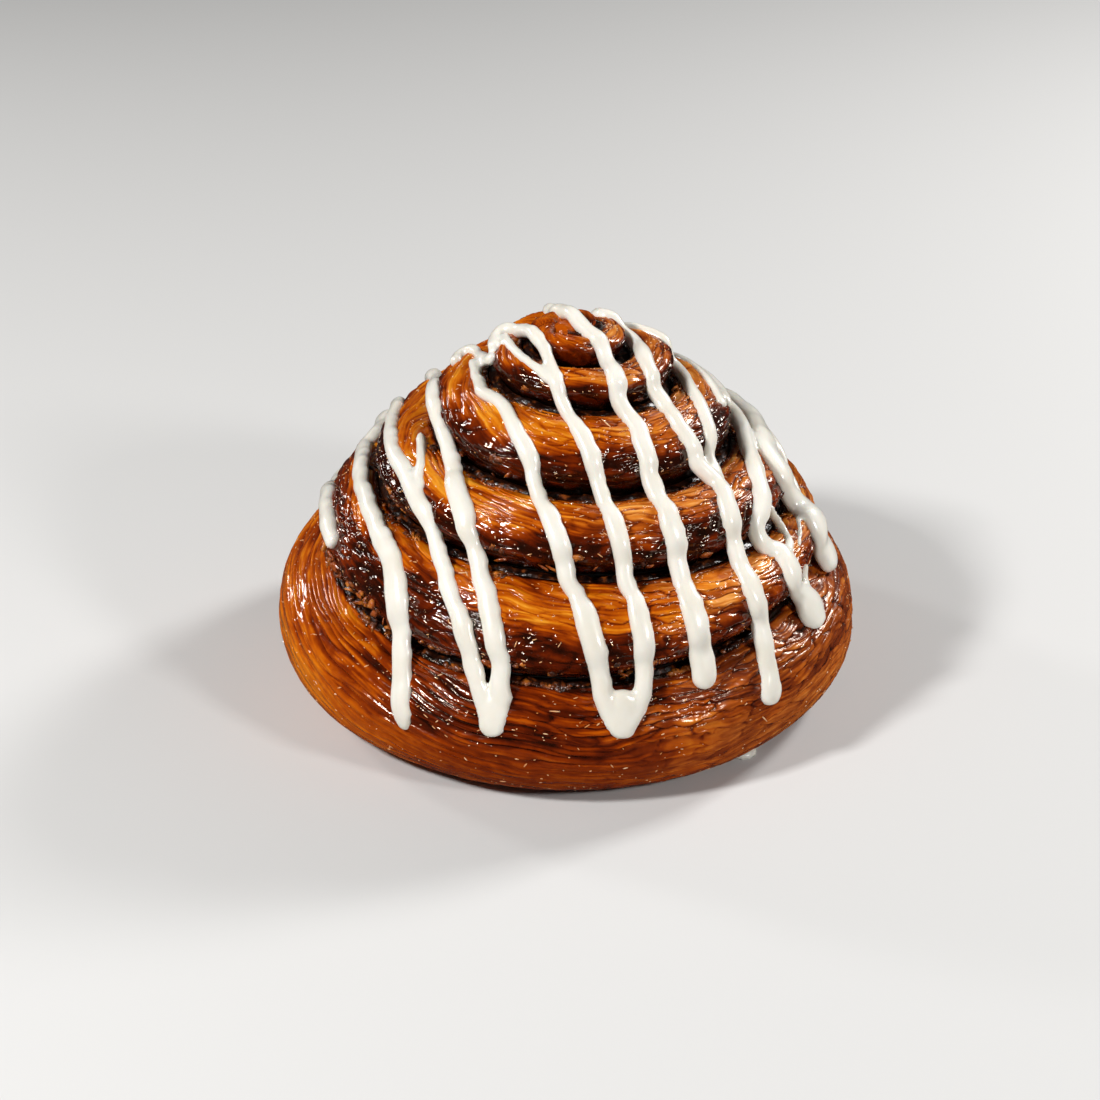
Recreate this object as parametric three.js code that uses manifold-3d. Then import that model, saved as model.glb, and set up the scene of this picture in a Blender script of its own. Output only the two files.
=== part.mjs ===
// A tall cinnamon roll: one strip of glazed dough coiled round a cinnamon filling. In the oven the middle rose
// above the outer turns, so each turn shows as a bulging step of a dome. Thick icing is drizzled over it.
// Millimetres, +Z up, the origin under the middle of the flat base, and -Y the front.
import * as THREE from "three";
import { mergeVertices } from "three/addons/utils/BufferGeometryUtils.js";
import Module from "manifold-3d";

// The dome that the turns' crowns touch, as [radius, height] from the tip to the edge of the flat base.
const DOME = [
  [0, 76.8],
  [11.5, 71.8],
  [20.5, 65.4],
  [29.4, 57.6],
  [39.6, 47.6],
  [48.2, 36],
  [54.8, 24.1],
  [57, 15],
  [55.8, 7.6],
  [51.5, 2.5],
  [46, 0],
];
const TIP_HEIGHT = DOME[0][1];
const BASE_RADIUS = DOME[DOME.length - 1][0];

// How far down the dome the groove under each turn lies, measured along the skin from the tip. Each row is a turn,
// with its values at the front, right, back and left. The last groove runs out at the base, where the strip's
// end is tucked in.
const GROOVE_ROWS = [
  [5, 6.6, 8.2, 9.6],
  [11, 14, 16.6, 18.8],
  [20.9, 25.4, 29.8, 34],
  [38.4, 42.3, 46, 50],
  [54.9, 59.2, 63.2, 68],
  [75.2, 69.8, 73.5, 112],
];

// Places along the spiral are turn angles: degrees counted on through all turns, from 0 at the front of the
// second row.
const TURN = 360;
const QUARTER = 90;
const SPIRAL_START = -TURN;
const TAIL_RUNS_OUT = 1690; // where the last groove reaches the base
const STRIP_END = 2032; // where the tapered outer end of the strip stops

const GROOVE_DEPTH = { start: 1.8, inner: 4.2, outer: 5.4 };
const DEEPEST_FROM = 700; // the turn angle from which the grooves are at their deepest
const RUN_OUT = 22; // a groove grows shallow over this length of skin above the base
const CROWN_AT = 0.46; // the highest line of a turn's face, as a share of its width
const ROUNDING = { above: 3, below: 3.6 }; // how late, and so how squarely, the face falls to its grooves
const STEP_OUT = 1.5; // how much further a turn's lower edge stands out than its upper edge
const STEP_ROUNDING = 4;
const LIP = 0.045; // how far the lower edge hangs over the next turn, as a share of the turn's width
const LIP_FROM = 0.6; // where the overhang starts, as a share of the width
const MOUTH_ROUNDING = 4; // how near to a groove its sides stay parallel
const SWELLS = [
  { height: 0.28, perTurn: 1.7, slant: 2.1 },
  { height: 0.16, perTurn: 4.3, slant: -3 },
  { height: 0.11, perTurn: 9.1, slant: 0 },
];

const EYE = { radius: 2.4, depth: 2.2, wall: 0.5, knob: 0.3 }; // the pit at the middle, with a knob of dough
const CORE_INSIDE = 1; // the innermost turn reaches in this far towards the axis, inside the knob
const JOIN = 3; // degrees by which the dough's lengths run into each other
const FOOT_INSET = 5.5; // the filling stays this far inside the base's edge
const FOOT_LEAN = 0.16; // the layers close up towards the base by this share of their radius
const FOOT_LEAN_HEIGHT = 22;
const TAIL_EDGE = 0.5;

const FILLING = 1.6; // thickness of the cinnamon layer
const CLEARANCE = 0.5; // between the filling and the dough on each side
const SLOT_HALF = FILLING / 2 + CLEARANCE;
const FILLING_START = -288;
const FILLING_END = 1632;
const FILLING_FOOT = 0.5; // how far above the base the filling starts
const FILLING_DROP = 0.3; // how far below the bottom of the groove it ends

const STATION = 12; // degrees between sections, alike in all turns, so that neighbours run parallel
const CRUST_POINTS = 8; // across the visible face of a turn

// The drizzle's strands, as [right, back] positions on the dome's skin when it is peeled flat round the tip. Each
// runs from behind the bun over its top to a drop in front. Two that share a drop make a turn of the zigzag.
const STRANDS = {
  left_edge: { width: 4, drop: 1, path: [[-46, 20], [-56, 4], [-64, -4], [-61, -22]] },
  left: { width: 4.6, drop: 1, path: [[-46, 42], [-52, 12], [-51, -17], [-44, -43], [-46, -75]] },
  left_pair_a: { width: 4.2, drop: 1.5, path: [[-45, 58], [-43, 14], [-40, -14], [-33, -37], [-20, -83]] },
  left_pair_b: { width: 4.2, drop: 1.3, path: [[-40, 64], [-34, 14], [-31, -20], [-20, -56], [-20, -84]] },
  middle_pair_a: { width: 4.4, drop: 1.5, path: [[-22, -2], [-17, -16], [-9, -34], [4, -64], [15, -85]] },
  middle_pair_b: { width: 4.2, drop: 1.5, path: [[-28, 52], [-13, 4], [-3, -17], [9, -40], [20, -66], [18, -85]] },
  right_single: { width: 4.4, drop: 1.25, path: [[-18, 56], [0, 5], [13, -19], [26, -44], [38, -71]] },
  right_long: { width: 4.5, drop: 1.3, path: [[-2, 52], [14, 10], [24, -15], [40, -35], [50, -50], [58, -67]] },
  right_short: { width: 4, drop: 1, path: [[6, 50], [27, 12], [31, -9], [38, -27]] },
  right_far: { width: 4.3, drop: 1.4, path: [[18, 52], [41, 20], [46, -14], [57, -30], [71, -37]] },
  right_edge: { width: 4.3, drop: 1.4, path: [[26, 58], [46, 23], [54, -5], [75, -11]] },
};
const ICING_ABOVE = 1.5; // how high the icing stands on the crust
const ICING_BELOW = 0.8; // how far its underside is sunk
const ICING_SAG = -1.5; // how deep it sags where it bridges a groove
const ICING_STEP = 4.9; // between its sections
const ICING_SHOULDER = 0.62; // its flat top, as a share of its width
const ICING_NOSE = 1.2; // length of the rounded end
const ICING_END_SHARE = 0.42; // the width left at the very end
const DROP_FROM = 11; // a drop swells over this length before the strand's end
const DROP_FULL = 3;
const ICING_RIPPLE = 0.09; // how much the width comes and goes
const SPLASH = { x: 33.5, y: -35, radius: 3.2, height: 1.8 }; // icing that ran down under the edge

const { degToRad, radToDeg, lerp, clamp, smoothstep } = THREE.MathUtils;

function pairToVector([x, y]) {
  return new THREE.Vector2(x, y);
}

const dome = new THREE.SplineCurve(DOME.map(pairToVector));
dome.arcLengthDivisions = 600;
const domeLength = dome.getLength();

// A point that lies off the dome's skin by a height, as a [radius, height] vector.
function offDome(arc, height) {
  const share = clamp(arc / domeLength, 0, 1);
  return dome.getPointAt(share).addScaledVector(domeOutward(share), height);
}

function domeOutward(share) {
  const along = dome.getTangentAt(share);
  return new THREE.Vector2(-along.y, along.x);
}

const grooveArcs = GROOVE_ROWS.flat();
const lastGroove = SPIRAL_START + (grooveArcs.length - 1) * QUARTER;
const grooves = new THREE.SplineCurve(
  grooveArcs.map((arc, quarter) => new THREE.Vector2(SPIRAL_START + quarter * QUARTER, arc)),
);

// How far down the dome the groove lies at a turn angle.
function grooveArc(turn) {
  if (turn >= TAIL_RUNS_OUT) return domeLength;
  const share = (turn - SPIRAL_START) / (lastGroove - SPIRAL_START);
  return Math.min(grooves.getPoint(clamp(share, 0, 1)).y, domeLength);
}

function grooveDepth(turn) {
  const inner = lerp(GROOVE_DEPTH.start, GROOVE_DEPTH.inner, smoothstep(turn, SPIRAL_START, 0));
  const deep = lerp(inner, GROOVE_DEPTH.outer, smoothstep(turn, 0, DEEPEST_FROM));
  return deep * smoothstep(domeLength - grooveArc(turn), 0, RUN_OUT);
}

function grooveRoot(turn) {
  return offDome(grooveArc(turn), -grooveDepth(turn));
}

// The two edges that bound a turn of the strip. The innermost turn's upper edge is the eye's rim.
function bandAt(turn, core) {
  const upper = core ? EYE.radius : grooveArc(turn - TURN);
  const lower = grooveArc(turn);
  return {
    core,
    upper,
    width: lower - upper,
    upperDepth: core ? EYE.depth : grooveDepth(turn - TURN),
    lowerDepth: grooveDepth(turn),
  };
}

// Slow swells along the strip.
function unevenness(turn, across) {
  let height = 0;
  for (const swell of SWELLS) height += swell.height * Math.sin(swell.perTurn * degToRad(turn) + swell.slant * across);
  return height * Math.sin(Math.PI * across);
}

// The height of a turn's face off the dome, from its upper edge at 0 to its lower edge at 1.
function faceHeight(band, across, turn) {
  const above = across < CROWN_AT;
  const fall = above ? 1 - across / CROWN_AT : (across - CROWN_AT) / (1 - CROWN_AT);
  const depth = above ? band.upperDepth : band.lowerDepth;
  const step = STEP_OUT * (across - CROWN_AT) * (1 - fall ** STEP_ROUNDING);
  return step - depth * fall ** (above ? ROUNDING.above : ROUNDING.below) + unevenness(turn, across);
}

// Where the layer that comes up in a groove stands on the base.
function footRadius(turn) {
  const root = grooveRoot(turn);
  const leaning = root.x * (1 - FOOT_LEAN * clamp(root.y / FOOT_LEAN_HEIGHT, 0, 1));
  return Math.min(leaning, BASE_RADIUS - FOOT_INSET);
}

// The outline of the strip's section at a turn angle: the face from the upper edge to the lower one, and the
// two hidden sides down to the base.
function stripSection(turn, core) {
  const band = bandAt(turn, core);
  const open = turn < TAIL_RUNS_OUT; // a groove bounds the lower edge, rather than the base
  const points = [];
  for (let k = 0; k <= CRUST_POINTS; k++) {
    const across = 0.5 - 0.5 * Math.cos((Math.PI * k) / CRUST_POINTS);
    const lip = open ? LIP * Math.sin(Math.PI * clamp((across - LIP_FROM) / (1 - LIP_FROM), 0, 1)) : 0;
    const point = offDome(band.upper + band.width * (across + lip), faceHeight(band, across, turn));
    if (!core) point.x += SLOT_HALF * (1 - across) ** MOUTH_ROUNDING;
    if (open) point.x -= SLOT_HALF * across ** MOUTH_ROUNDING;
    point.y = Math.max(point.y, 0);
    points.push(point);
  }
  const outerFoot = open ? footRadius(turn) - SLOT_HALF : points[CRUST_POINTS].x - TAIL_EDGE;
  const innerFoot = core ? CORE_INSIDE : footRadius(turn - TURN) + SLOT_HALF;
  return [...points, new THREE.Vector2(outerFoot, 0), new THREE.Vector2(innerFoot, 0)];
}

// The filling's section, listed the opposite way round from the strip's, so that facing walls are cut along
// the same diagonals.
function fillingSection(turn) {
  const root = grooveRoot(turn);
  const base = footRadius(turn);
  const half = FILLING / 2;
  return [
    new THREE.Vector2(root.x + half, root.y - FILLING_DROP),
    new THREE.Vector2(root.x - half, root.y - FILLING_DROP),
    new THREE.Vector2(base - half, FILLING_FOOT),
    new THREE.Vector2(base + half, FILLING_FOOT),
  ];
}

// Turns a [radius, height] vector round the upright axis: angle 0 is the front and 90 the right.
function around(point, angle) {
  const a = degToRad(angle);
  return new THREE.Vector3(point.x * Math.sin(a), -point.x * Math.cos(a), point.y);
}

// The triangles of a flat outline, all turning the same way as the outline does.
function capTriangles(flat) {
  const triangles = THREE.ShapeUtils.triangulateShape(flat, []);
  const first = triangles[0].map((i) => flat[i]);
  const same = THREE.ShapeUtils.isClockWise(first) === THREE.ShapeUtils.isClockWise(flat);
  return same ? triangles : triangles.map(([a, b, c]) => [a, c, b]);
}

// One closed mesh through a row of rings. Each ring has the 2-D outline of its section in flats.
function loft(rings, flats) {
  const size = rings[0].length;
  const last = (rings.length - 1) * size;
  const faces = [];
  for (let start = 0; start < last; start += size) {
    for (let j = 0; j < size; j++) {
      const a = start + j;
      const b = start + ((j + 1) % size);
      faces.push([a, a + size, b], [b, a + size, b + size]);
    }
  }
  for (const triangle of capTriangles(flats[0])) faces.push(triangle);
  for (const [p, q, r] of capTriangles(flats[flats.length - 1])) faces.push([last + p, last + r, last + q]);
  const geometry = new THREE.BufferGeometry();
  geometry.setAttribute("position", new THREE.Float32BufferAttribute(rings.flat().flatMap((p) => p.toArray()), 3));
  geometry.setIndex(faces.flat());
  return geometry;
}

function sweepSpiral(from, to, sectionAt) {
  const turns = [from];
  for (let turn = (Math.floor(from / STATION) + 1) * STATION; turn < to - 1; turn += STATION) turns.push(turn);
  turns.push(to);
  const flats = turns.map(sectionAt);
  const rings = flats.map((flat, i) => flat.map((point) => around(point, turns[i])));
  return solid(loft(rings, flats));
}

// A solid turned round the upright axis from [radius, height] pairs.
function turned(profile, sides) {
  return solid(new THREE.LatheGeometry(profile.map(pairToVector), sides).rotateX(Math.PI / 2));
}

const wasm = await Module();
wasm.setup();

// A closed geometry as a solid with its faces pointing out.
function solid(geometry) {
  geometry.deleteAttribute("normal");
  geometry.deleteAttribute("uv");
  const merged = mergeVertices(geometry);
  const vertProperties = merged.getAttribute("position").array;
  const triVerts = Uint32Array.from(merged.index.array);
  const made = new wasm.Manifold(new wasm.Mesh({ numProp: 3, vertProperties, triVerts }));
  if (made.volume() > 0) return made;
  return new wasm.Manifold(new wasm.Mesh({ numProp: 3, vertProperties, triVerts: triVerts.reverse() }));
}

// The knob of dough in the eye, which stands on the base and joins the innermost turn's layers.
function makeEye() {
  const top = TIP_HEIGHT - EYE.depth;
  const radius = EYE.radius + EYE.wall;
  return turned([[0, 0], [radius, 0], [radius, top - 0.9], [0.6 * radius, top - 0.1], [0, top + EYE.knob]], 12);
}

function makeDough() {
  const coreSection = (turn) => stripSection(turn, true);
  const halfway = SPIRAL_START / 2;
  return [
    makeEye(),
    sweepSpiral(SPIRAL_START, halfway + JOIN, coreSection),
    sweepSpiral(halfway - JOIN, JOIN, coreSection),
    sweepSpiral(0, STRIP_END, (turn) => stripSection(turn, false)),
  ];
}

// The height of the crust off the dome at a length of skin from the tip, in the direction of an angle.
function crustHeight(arc, angle) {
  let turn = angle < 0 ? angle : angle - TURN;
  while (turn < STRIP_END && grooveArc(turn) < arc) turn += TURN;
  const band = bandAt(turn, turn < 0);
  return faceHeight(band, clamp((arc - band.upper) / band.width, 0, 1), turn);
}

// Where a strand's middle rests on the crust, with the dome's outward direction there.
function restingPlace({ x: right, y: back }) {
  const arc = Math.hypot(right, back);
  const angle = radToDeg(Math.atan2(right, -back));
  const height = Math.max(crustHeight(arc, angle), ICING_SAG);
  return {
    place: around(offDome(arc, height), angle),
    out: around(domeOutward(arc / domeLength), angle),
  };
}

// The 2-D outline of a strand, whose width swells to its drop and shrinks at its round ends.
function strandOutline(strand, index, fromStart, fromEnd) {
  const ripple = 1 + ICING_RIPPLE * Math.sin(0.45 * fromStart + 2 * index);
  const swell = lerp(strand.drop, 1, smoothstep(fromEnd, DROP_FULL, DROP_FROM)) * ripple;
  const nose = Math.sqrt(clamp(Math.min(fromStart, fromEnd) / (1.5 * ICING_NOSE), 0, 1));
  const rounding = lerp(ICING_END_SHARE, 1, nose);
  const half = (strand.width / 2) * swell * rounding;
  const top = ICING_ABOVE * rounding;
  const shoulder = half * ICING_SHOULDER;
  return [[-half, -ICING_BELOW], [-shoulder, top], [shoulder, top], [half, -ICING_BELOW]].map(pairToVector);
}

function makeStrand(strand, index) {
  const line = new THREE.SplineCurve(strand.path.map(pairToVector));
  const length = line.getLength();
  const count = Math.round(length / ICING_STEP);
  const inner = Array.from({ length: count - 1 }, (_, i) => ((i + 1) * length) / count);
  const lengths = [0, ICING_NOSE, ...inner, length - ICING_NOSE, length];
  const rests = lengths.map((along) => restingPlace(line.getPointAt(along / length)));
  const flats = lengths.map((along) => strandOutline(strand, index, along, length - along));
  const rings = rests.map(({ place, out }, i) => {
    const before = rests[Math.max(i - 1, 0)].place;
    const after = rests[Math.min(i + 1, rests.length - 1)].place;
    const side = after.clone().sub(before).cross(out).normalize();
    return flats[i].map((p) => place.clone().addScaledVector(side, p.x).addScaledVector(out, p.y));
  });
  return solid(loft(rings, flats));
}

function makeSplash() {
  const { x, y, radius, height } = SPLASH;
  return turned([[0, 0], [radius, 0], [0.8 * radius, 0.65 * height], [0, height]], 10).translate([x, y, 0]);
}

function node(name, manifold, color, roughness) {
  const { vertProperties, triVerts } = manifold.getMesh();
  const geometry = new THREE.BufferGeometry();
  geometry.setAttribute("position", new THREE.BufferAttribute(vertProperties, 3));
  geometry.setIndex(new THREE.BufferAttribute(triVerts, 1));
  geometry.computeVertexNormals();
  const mesh = new THREE.Mesh(geometry, new THREE.MeshStandardMaterial({ color, roughness, metalness: 0 }));
  mesh.name = name;
  return mesh;
}

const icing = Object.values(STRANDS).map(makeStrand);
const roll = wasm.Manifold.union([...makeDough(), ...icing, makeSplash()]);
const filling = sweepSpiral(FILLING_START, FILLING_END, fillingSection);

const part = new THREE.Group();
part.add(node("iced_dough", roll, 0xa85a22, 0.28));
part.add(node("cinnamon_filling", filling, 0x2a1208, 0.35));

export default part;
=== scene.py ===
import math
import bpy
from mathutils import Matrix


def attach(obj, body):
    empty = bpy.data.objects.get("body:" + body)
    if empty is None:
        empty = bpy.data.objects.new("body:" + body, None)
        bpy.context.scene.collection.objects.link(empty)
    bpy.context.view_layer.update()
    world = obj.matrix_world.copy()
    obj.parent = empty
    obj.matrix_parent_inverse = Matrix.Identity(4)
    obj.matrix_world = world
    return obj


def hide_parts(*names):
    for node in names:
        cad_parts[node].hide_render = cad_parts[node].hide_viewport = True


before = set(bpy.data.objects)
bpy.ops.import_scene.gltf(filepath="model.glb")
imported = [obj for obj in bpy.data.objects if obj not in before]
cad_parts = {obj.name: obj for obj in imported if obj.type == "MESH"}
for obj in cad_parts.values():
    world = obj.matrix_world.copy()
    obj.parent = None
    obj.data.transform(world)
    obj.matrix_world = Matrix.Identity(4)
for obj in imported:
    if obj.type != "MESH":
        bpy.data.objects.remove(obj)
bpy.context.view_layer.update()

# A tall cinnamon roll: a strip of glazed dough coiled round a cinnamon filling, with icing drizzled over it.
# Metres, +Z up, the origin under the middle of the flat base, and -Y the front.
from types import SimpleNamespace

import bmesh
import bpy
import numpy as np
from mathutils import Matrix, Vector

MM = 0.001

# The dome that the turns' crowns touch, as radius and height from the tip to the edge of the flat base.
DOME = MM * np.array([
    [0, 76.8], [11.5, 71.8], [20.5, 65.4], [29.4, 57.6], [39.6, 47.6], [48.2, 36],
    [54.8, 24.1], [57, 15], [55.8, 7.6], [51.5, 2.5], [46, 0],
])
TIP_HEIGHT = DOME[0, 1]
BASE_RADIUS = DOME[-1, 0]
DOME_SAMPLES = 4001

# How far down the dome the groove under each turn lies. Each row is a turn: front, right, back and left.
GROOVES = MM * np.array([
    [5, 6.6, 8.2, 9.6],
    [11, 14, 16.6, 18.8],
    [20.9, 25.4, 29.8, 34],
    [38.4, 42.3, 46, 50],
    [54.9, 59.2, 63.2, 68],
    [75.2, 69.8, 73.5, 112],
])

# Places along the spiral are turn angles: degrees counted on through all turns.
TURN = 360
QUARTER = 90
SPIRAL_START = -TURN
TAIL_RUNS_OUT = 1690
STRIP_END = 2032

# A turn's face: how deep its grooves are, where its crown lies and how it rounds into them, the step between
# turns, the lip that hangs over the next turn, and the slow swells along it. Shares are of the face's width.
GROOVE_DEPTH_INNER = 4.2 * MM
GROOVE_DEPTH_OUTER = 5.4 * MM
DEEPEST_FROM = 700
RUN_OUT = 22 * MM
CROWN_AT = 0.46
ROUNDING_ABOVE = 3
ROUNDING_BELOW = 3.6
STEP_OUT = 1.5 * MM
STEP_ROUNDING = 4
LIP = 0.045
LIP_FROM = 0.6
MOUTH_ROUNDING = 4
MOUTH_CLOSES = 50
SWELLS = ((0.28 * MM, 1.7, 2.1), (0.16 * MM, 4.3, -3), (0.11 * MM, 9.1, 0))

# The eye at the tip, and the turn angle over which the coil takes on its full form.
EYE_RADIUS = 2.4 * MM
EYE_DEPTH = 2.2 * MM
EYE_WALL = 0.5 * MM
GROWN_OUT = 75

# Dents and bulges of the skin: how far right and back of the tip each lies when the skin is peeled flat, how
# far it reaches and how high it stands. They are the eye's pit with its knob, the hollow beside it and a full
# shoulder.
DENTS = MM * np.array([
    [-0.3, -2.7, 2.5, -2.0],
    [-0.1, -3.6, 1.2, 1.7],
    [3.4, 0.6, 1.7, -1],
    [25, 8, 11, 1.3],
])

# The strip's hidden sides, which run down to the base.
CORE_INSIDE = 1 * MM
FOOT_INSET = 5.5 * MM
FOOT_LEAN = 0.16
FOOT_LEAN_HEIGHT = 22 * MM
TAIL_EDGE = 0.5 * MM
SLOT_HALF = 1.3 * MM

# The crust's mesh: how far apart its points lie along the strip, and the lengths that the strip is made in.
# Each has its turn angles, its number of points across and how much closer these lie at the upper edge.
ALONG_STEP = 0.45 * MM
DOUGH_LENGTHS = (
    ("dough_heart", SPIRAL_START, 0, 70, 1),
    ("dough_crown", 0, 540, 90, 1),
    ("dough_shoulder_upper", 540, 900, 136, 1),
    ("dough_shoulder_lower", 900, 1260, 136, 1),
    ("dough_waist_front", 1260, 1530, 150, 1),
    ("dough_waist_back", 1530, TAIL_RUNS_OUT, 150, 1),
    ("dough_foot_front", TAIL_RUNS_OUT, 1890, 200, 1.25),
    ("dough_foot_back", 1890, STRIP_END, 180, 1.25),
)


def smoothstep(value, low, high):
    share = np.clip((value - low) / (high - low), 0, 1)
    return share * share * (3 - 2 * share)


def mix(a, b, share):
    return a + (b - a) * share


def through_points(points, place):
    """A smooth line through the points, at places counted in points from the first."""
    points = np.asarray(points, float)
    last = len(points) - 1
    place = np.clip(np.asarray(place, float), 0, last)
    start = np.minimum(place.astype(int), last - 1)
    share = (place - start)[..., None]
    before, here, after, beyond = (points[np.clip(start + step, 0, last)] for step in (-1, 0, 1, 2))
    leave = (after - before) / 2
    arrive = (beyond - here) / 2
    cubic = 2 * here - 2 * after + leave + arrive
    square = -3 * here + 3 * after - 2 * leave - arrive
    return ((cubic * share + square) * share + leave) * share + here


def measured_line(points, samples):
    """A smooth line through the points, with its length at each sample."""
    line = through_points(points, np.linspace(0, len(points) - 1, samples))
    steps = np.linalg.norm(np.diff(line, axis=0), axis=1)
    return line, np.concatenate([[0], np.cumsum(steps)])


DOME_LINE, DOME_ARCS = measured_line(DOME, DOME_SAMPLES)
DOME_LENGTH = DOME_ARCS[-1]
DOME_ALONG = np.gradient(DOME_LINE, DOME_ARCS, axis=0)
DOME_OUT = np.stack([-DOME_ALONG[:, 1], DOME_ALONG[:, 0]], axis=1)
DOME_OUT /= np.linalg.norm(DOME_OUT, axis=1)[:, None]


def dome_outward(arc):
    return np.stack([np.interp(arc, DOME_ARCS, DOME_OUT[:, k]) for k in (0, 1)], axis=-1)


def off_dome(arc, height):
    """Points that lie off the dome's skin by a height, as radius and height above the base."""
    skin = np.stack([np.interp(arc, DOME_ARCS, DOME_LINE[:, k]) for k in (0, 1)], axis=-1)
    return skin + dome_outward(arc) * np.asarray(height)[..., None]


def around(flat, turn):
    """Turns radius and height round the upright axis: angle 0 is the front and 90 the right."""
    angle = np.radians(turn)
    return np.stack([flat[..., 0] * np.sin(angle), -flat[..., 0] * np.cos(angle), flat[..., 1]], axis=-1)


def groove_arc(turn):
    turn = np.asarray(turn, float)
    arc = through_points(GROOVES.reshape(-1, 1), (turn - SPIRAL_START) / QUARTER)[..., 0]
    return np.where(turn >= TAIL_RUNS_OUT, DOME_LENGTH, np.minimum(arc, DOME_LENGTH))


def groove_depth(turn):
    inner = GROOVE_DEPTH_INNER * smoothstep(turn, SPIRAL_START, 0)
    deep = mix(inner, GROOVE_DEPTH_OUTER, smoothstep(turn, 0, DEEPEST_FROM))
    return deep * smoothstep(DOME_LENGTH - groove_arc(turn), 0, RUN_OUT)


def upper_edge(turn, core):
    return np.full_like(turn, EYE_RADIUS) if core else groove_arc(turn - TURN)


def upper_depth(turn, core):
    return np.full_like(turn, EYE_DEPTH) if core else groove_depth(turn - TURN)


def foot_radius(turn):
    root = off_dome(groove_arc(turn), -groove_depth(turn))
    leaning = root[..., 0] * (1 - FOOT_LEAN * np.clip(root[..., 1] / FOOT_LEAN_HEIGHT, 0, 1))
    return np.minimum(leaning, BASE_RADIUS - FOOT_INSET)


def slot_half(turn):
    """Half the gap between neighbouring turns, which opens as the coil grows out of its middle."""
    return SLOT_HALF * smoothstep(turn, SPIRAL_START, SPIRAL_START + 2 * GROWN_OUT)


def own_height(turn, across, core):
    above = across < CROWN_AT
    fall = np.where(above, 1 - across / CROWN_AT, (across - CROWN_AT) / (1 - CROWN_AT))
    depth = np.where(above, upper_depth(turn, core), groove_depth(turn))
    rounding = np.where(above, ROUNDING_ABOVE, ROUNDING_BELOW)
    step = STEP_OUT * (across - CROWN_AT) * (1 - fall**STEP_ROUNDING)
    swell = sum(height * np.sin(rate * np.radians(turn) + slant * across) for height, rate, slant in SWELLS)
    return step - depth * fall**rounding + swell * np.sin(np.pi * across)


def dented(arc, turn):
    """How far the dents and bulges raise the skin."""
    right = arc * np.sin(np.radians(turn))
    back = -arc * np.cos(np.radians(turn))
    away = [np.hypot(right - at_right, back - at_back) / reach for at_right, at_back, reach, _ in DENTS]
    return sum(height * np.exp(-(far**2)) for far, height in zip(away, DENTS[:, 3]))


def plain_height(turn, across, core):
    """The height of a turn's face off the dome, without its crust's fine relief."""
    own = own_height(turn, across, core)
    since = turn - (SPIRAL_START if core else 0)
    first = np.zeros_like(turn)
    upper = upper_edge(turn, core)
    arc = upper + (groove_arc(turn) - upper) * across
    core_across = np.clip((arc - EYE_RADIUS) / (groove_arc(first) - EYE_RADIUS), 0, 1)
    grown = mix(own_height(first, core_across, True), own, smoothstep(since, 0, GROWN_OUT))
    return grown + dented(arc, turn)


# The side of the square lattice of seeded numbers that every uneven pattern repeats after.
LATTICE = 256


def on_lattice(pattern, along, across):
    """A place in a pattern's patches, exact and as whole rows and columns."""
    u = along / pattern[1]
    v = across / pattern[2]
    return u, v, np.floor(u).astype(int), np.floor(v).astype(int)


def patches(pattern, along, across):
    """Seeded unevenness from -1 to 1 that varies smoothly over patches of a length and a width."""
    heights = np.random.default_rng(pattern[0]).uniform(-1, 1, (LATTICE, LATTICE))
    u, v, row, column = on_lattice(pattern, along, across)
    down = smoothstep(u - row, 0, 1)
    over = smoothstep(v - column, 0, 1)
    corners = [heights[(row + i) % LATTICE, (column + j) % LATTICE] for i in (0, 1) for j in (0, 1)]
    return mix(mix(corners[0], corners[1], over), mix(corners[2], corners[3], over), down)


# The length of the strip's middle line from its start to each turn angle.
RUN_TURNS = np.linspace(SPIRAL_START, STRIP_END, 2400)
RUN_MIDDLES = (groove_arc(RUN_TURNS) + groove_arc(RUN_TURNS - TURN)) / 2
RUN_RADII = off_dome(RUN_MIDDLES, 0 * RUN_MIDDLES)[:, 0]
RUN_LENGTHS = np.concatenate([[0], np.cumsum(np.radians(np.diff(RUN_TURNS)) * RUN_RADII[1:])])


def run_at(turn):
    return np.interp(turn, RUN_TURNS, RUN_LENGTHS)


# The layers of rolled dough that show in the crust. On the left side of the roll they are ridges that slant
# down across the strip, on the right thicker leaves and flakes, and finer fibres run along all of them.
LEAF_HEIGHT = 0.5 * MM
FLAKE_HEIGHT = 0.45 * MM
RIDGE_HEIGHT = 0.42 * MM
FIBRE_HEIGHT = 0.05 * MM
CRAG_HEIGHT = 0.6 * MM
RIDGE_LEVEL = 0.7
RIDGE_FULLNESS = 1.7
RIDGE_ROUNDING = 0.6
BROAD_BEND = 1.1 * MM
SMALL_BEND = 0.45 * MM
FLAKE_JOG = 0.35 * MM
SLANT = 0.2
MEAN_RADIUS = 45 * MM

# The crust's uneven patterns. Each has its seed, and the length and width of its patches.
BROAD_BENDS = (11, 12 * MM, 6 * MM)
SMALL_BENDS = (12, 4 * MM, 2.2 * MM)
FLAKE_JOGS = (13, 1.5 * MM, 1.1 * MM)
BROAD_RAGS = (21, 11 * MM, 40 * MM)
FINE_RAGS = (22, 3.4 * MM, 2 * MM)
RIGHT_BLEND = (31, 18 * MM, 8 * MM)
FLAKY_BLEND = (32, 9 * MM, 4 * MM)
LEAVES = (41, 9 * MM, 1.7 * MM)
RIDGES = (42, 22 * MM, 0.95 * MM)
FIBRES = (43, 6 * MM, 0.5 * MM)
FLAKES = (44, 11 * MM, 1.8 * MM)
BLISTERS = (51, 2.8 * MM, 1.5 * MM)
WRINKLES = (52, 1.4 * MM, 0.8 * MM)
BROAD_MOTTLES = (61, 9 * MM, 3.5 * MM)
FINE_MOTTLES = (62, 4 * MM, 0.7 * MM)
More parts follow.
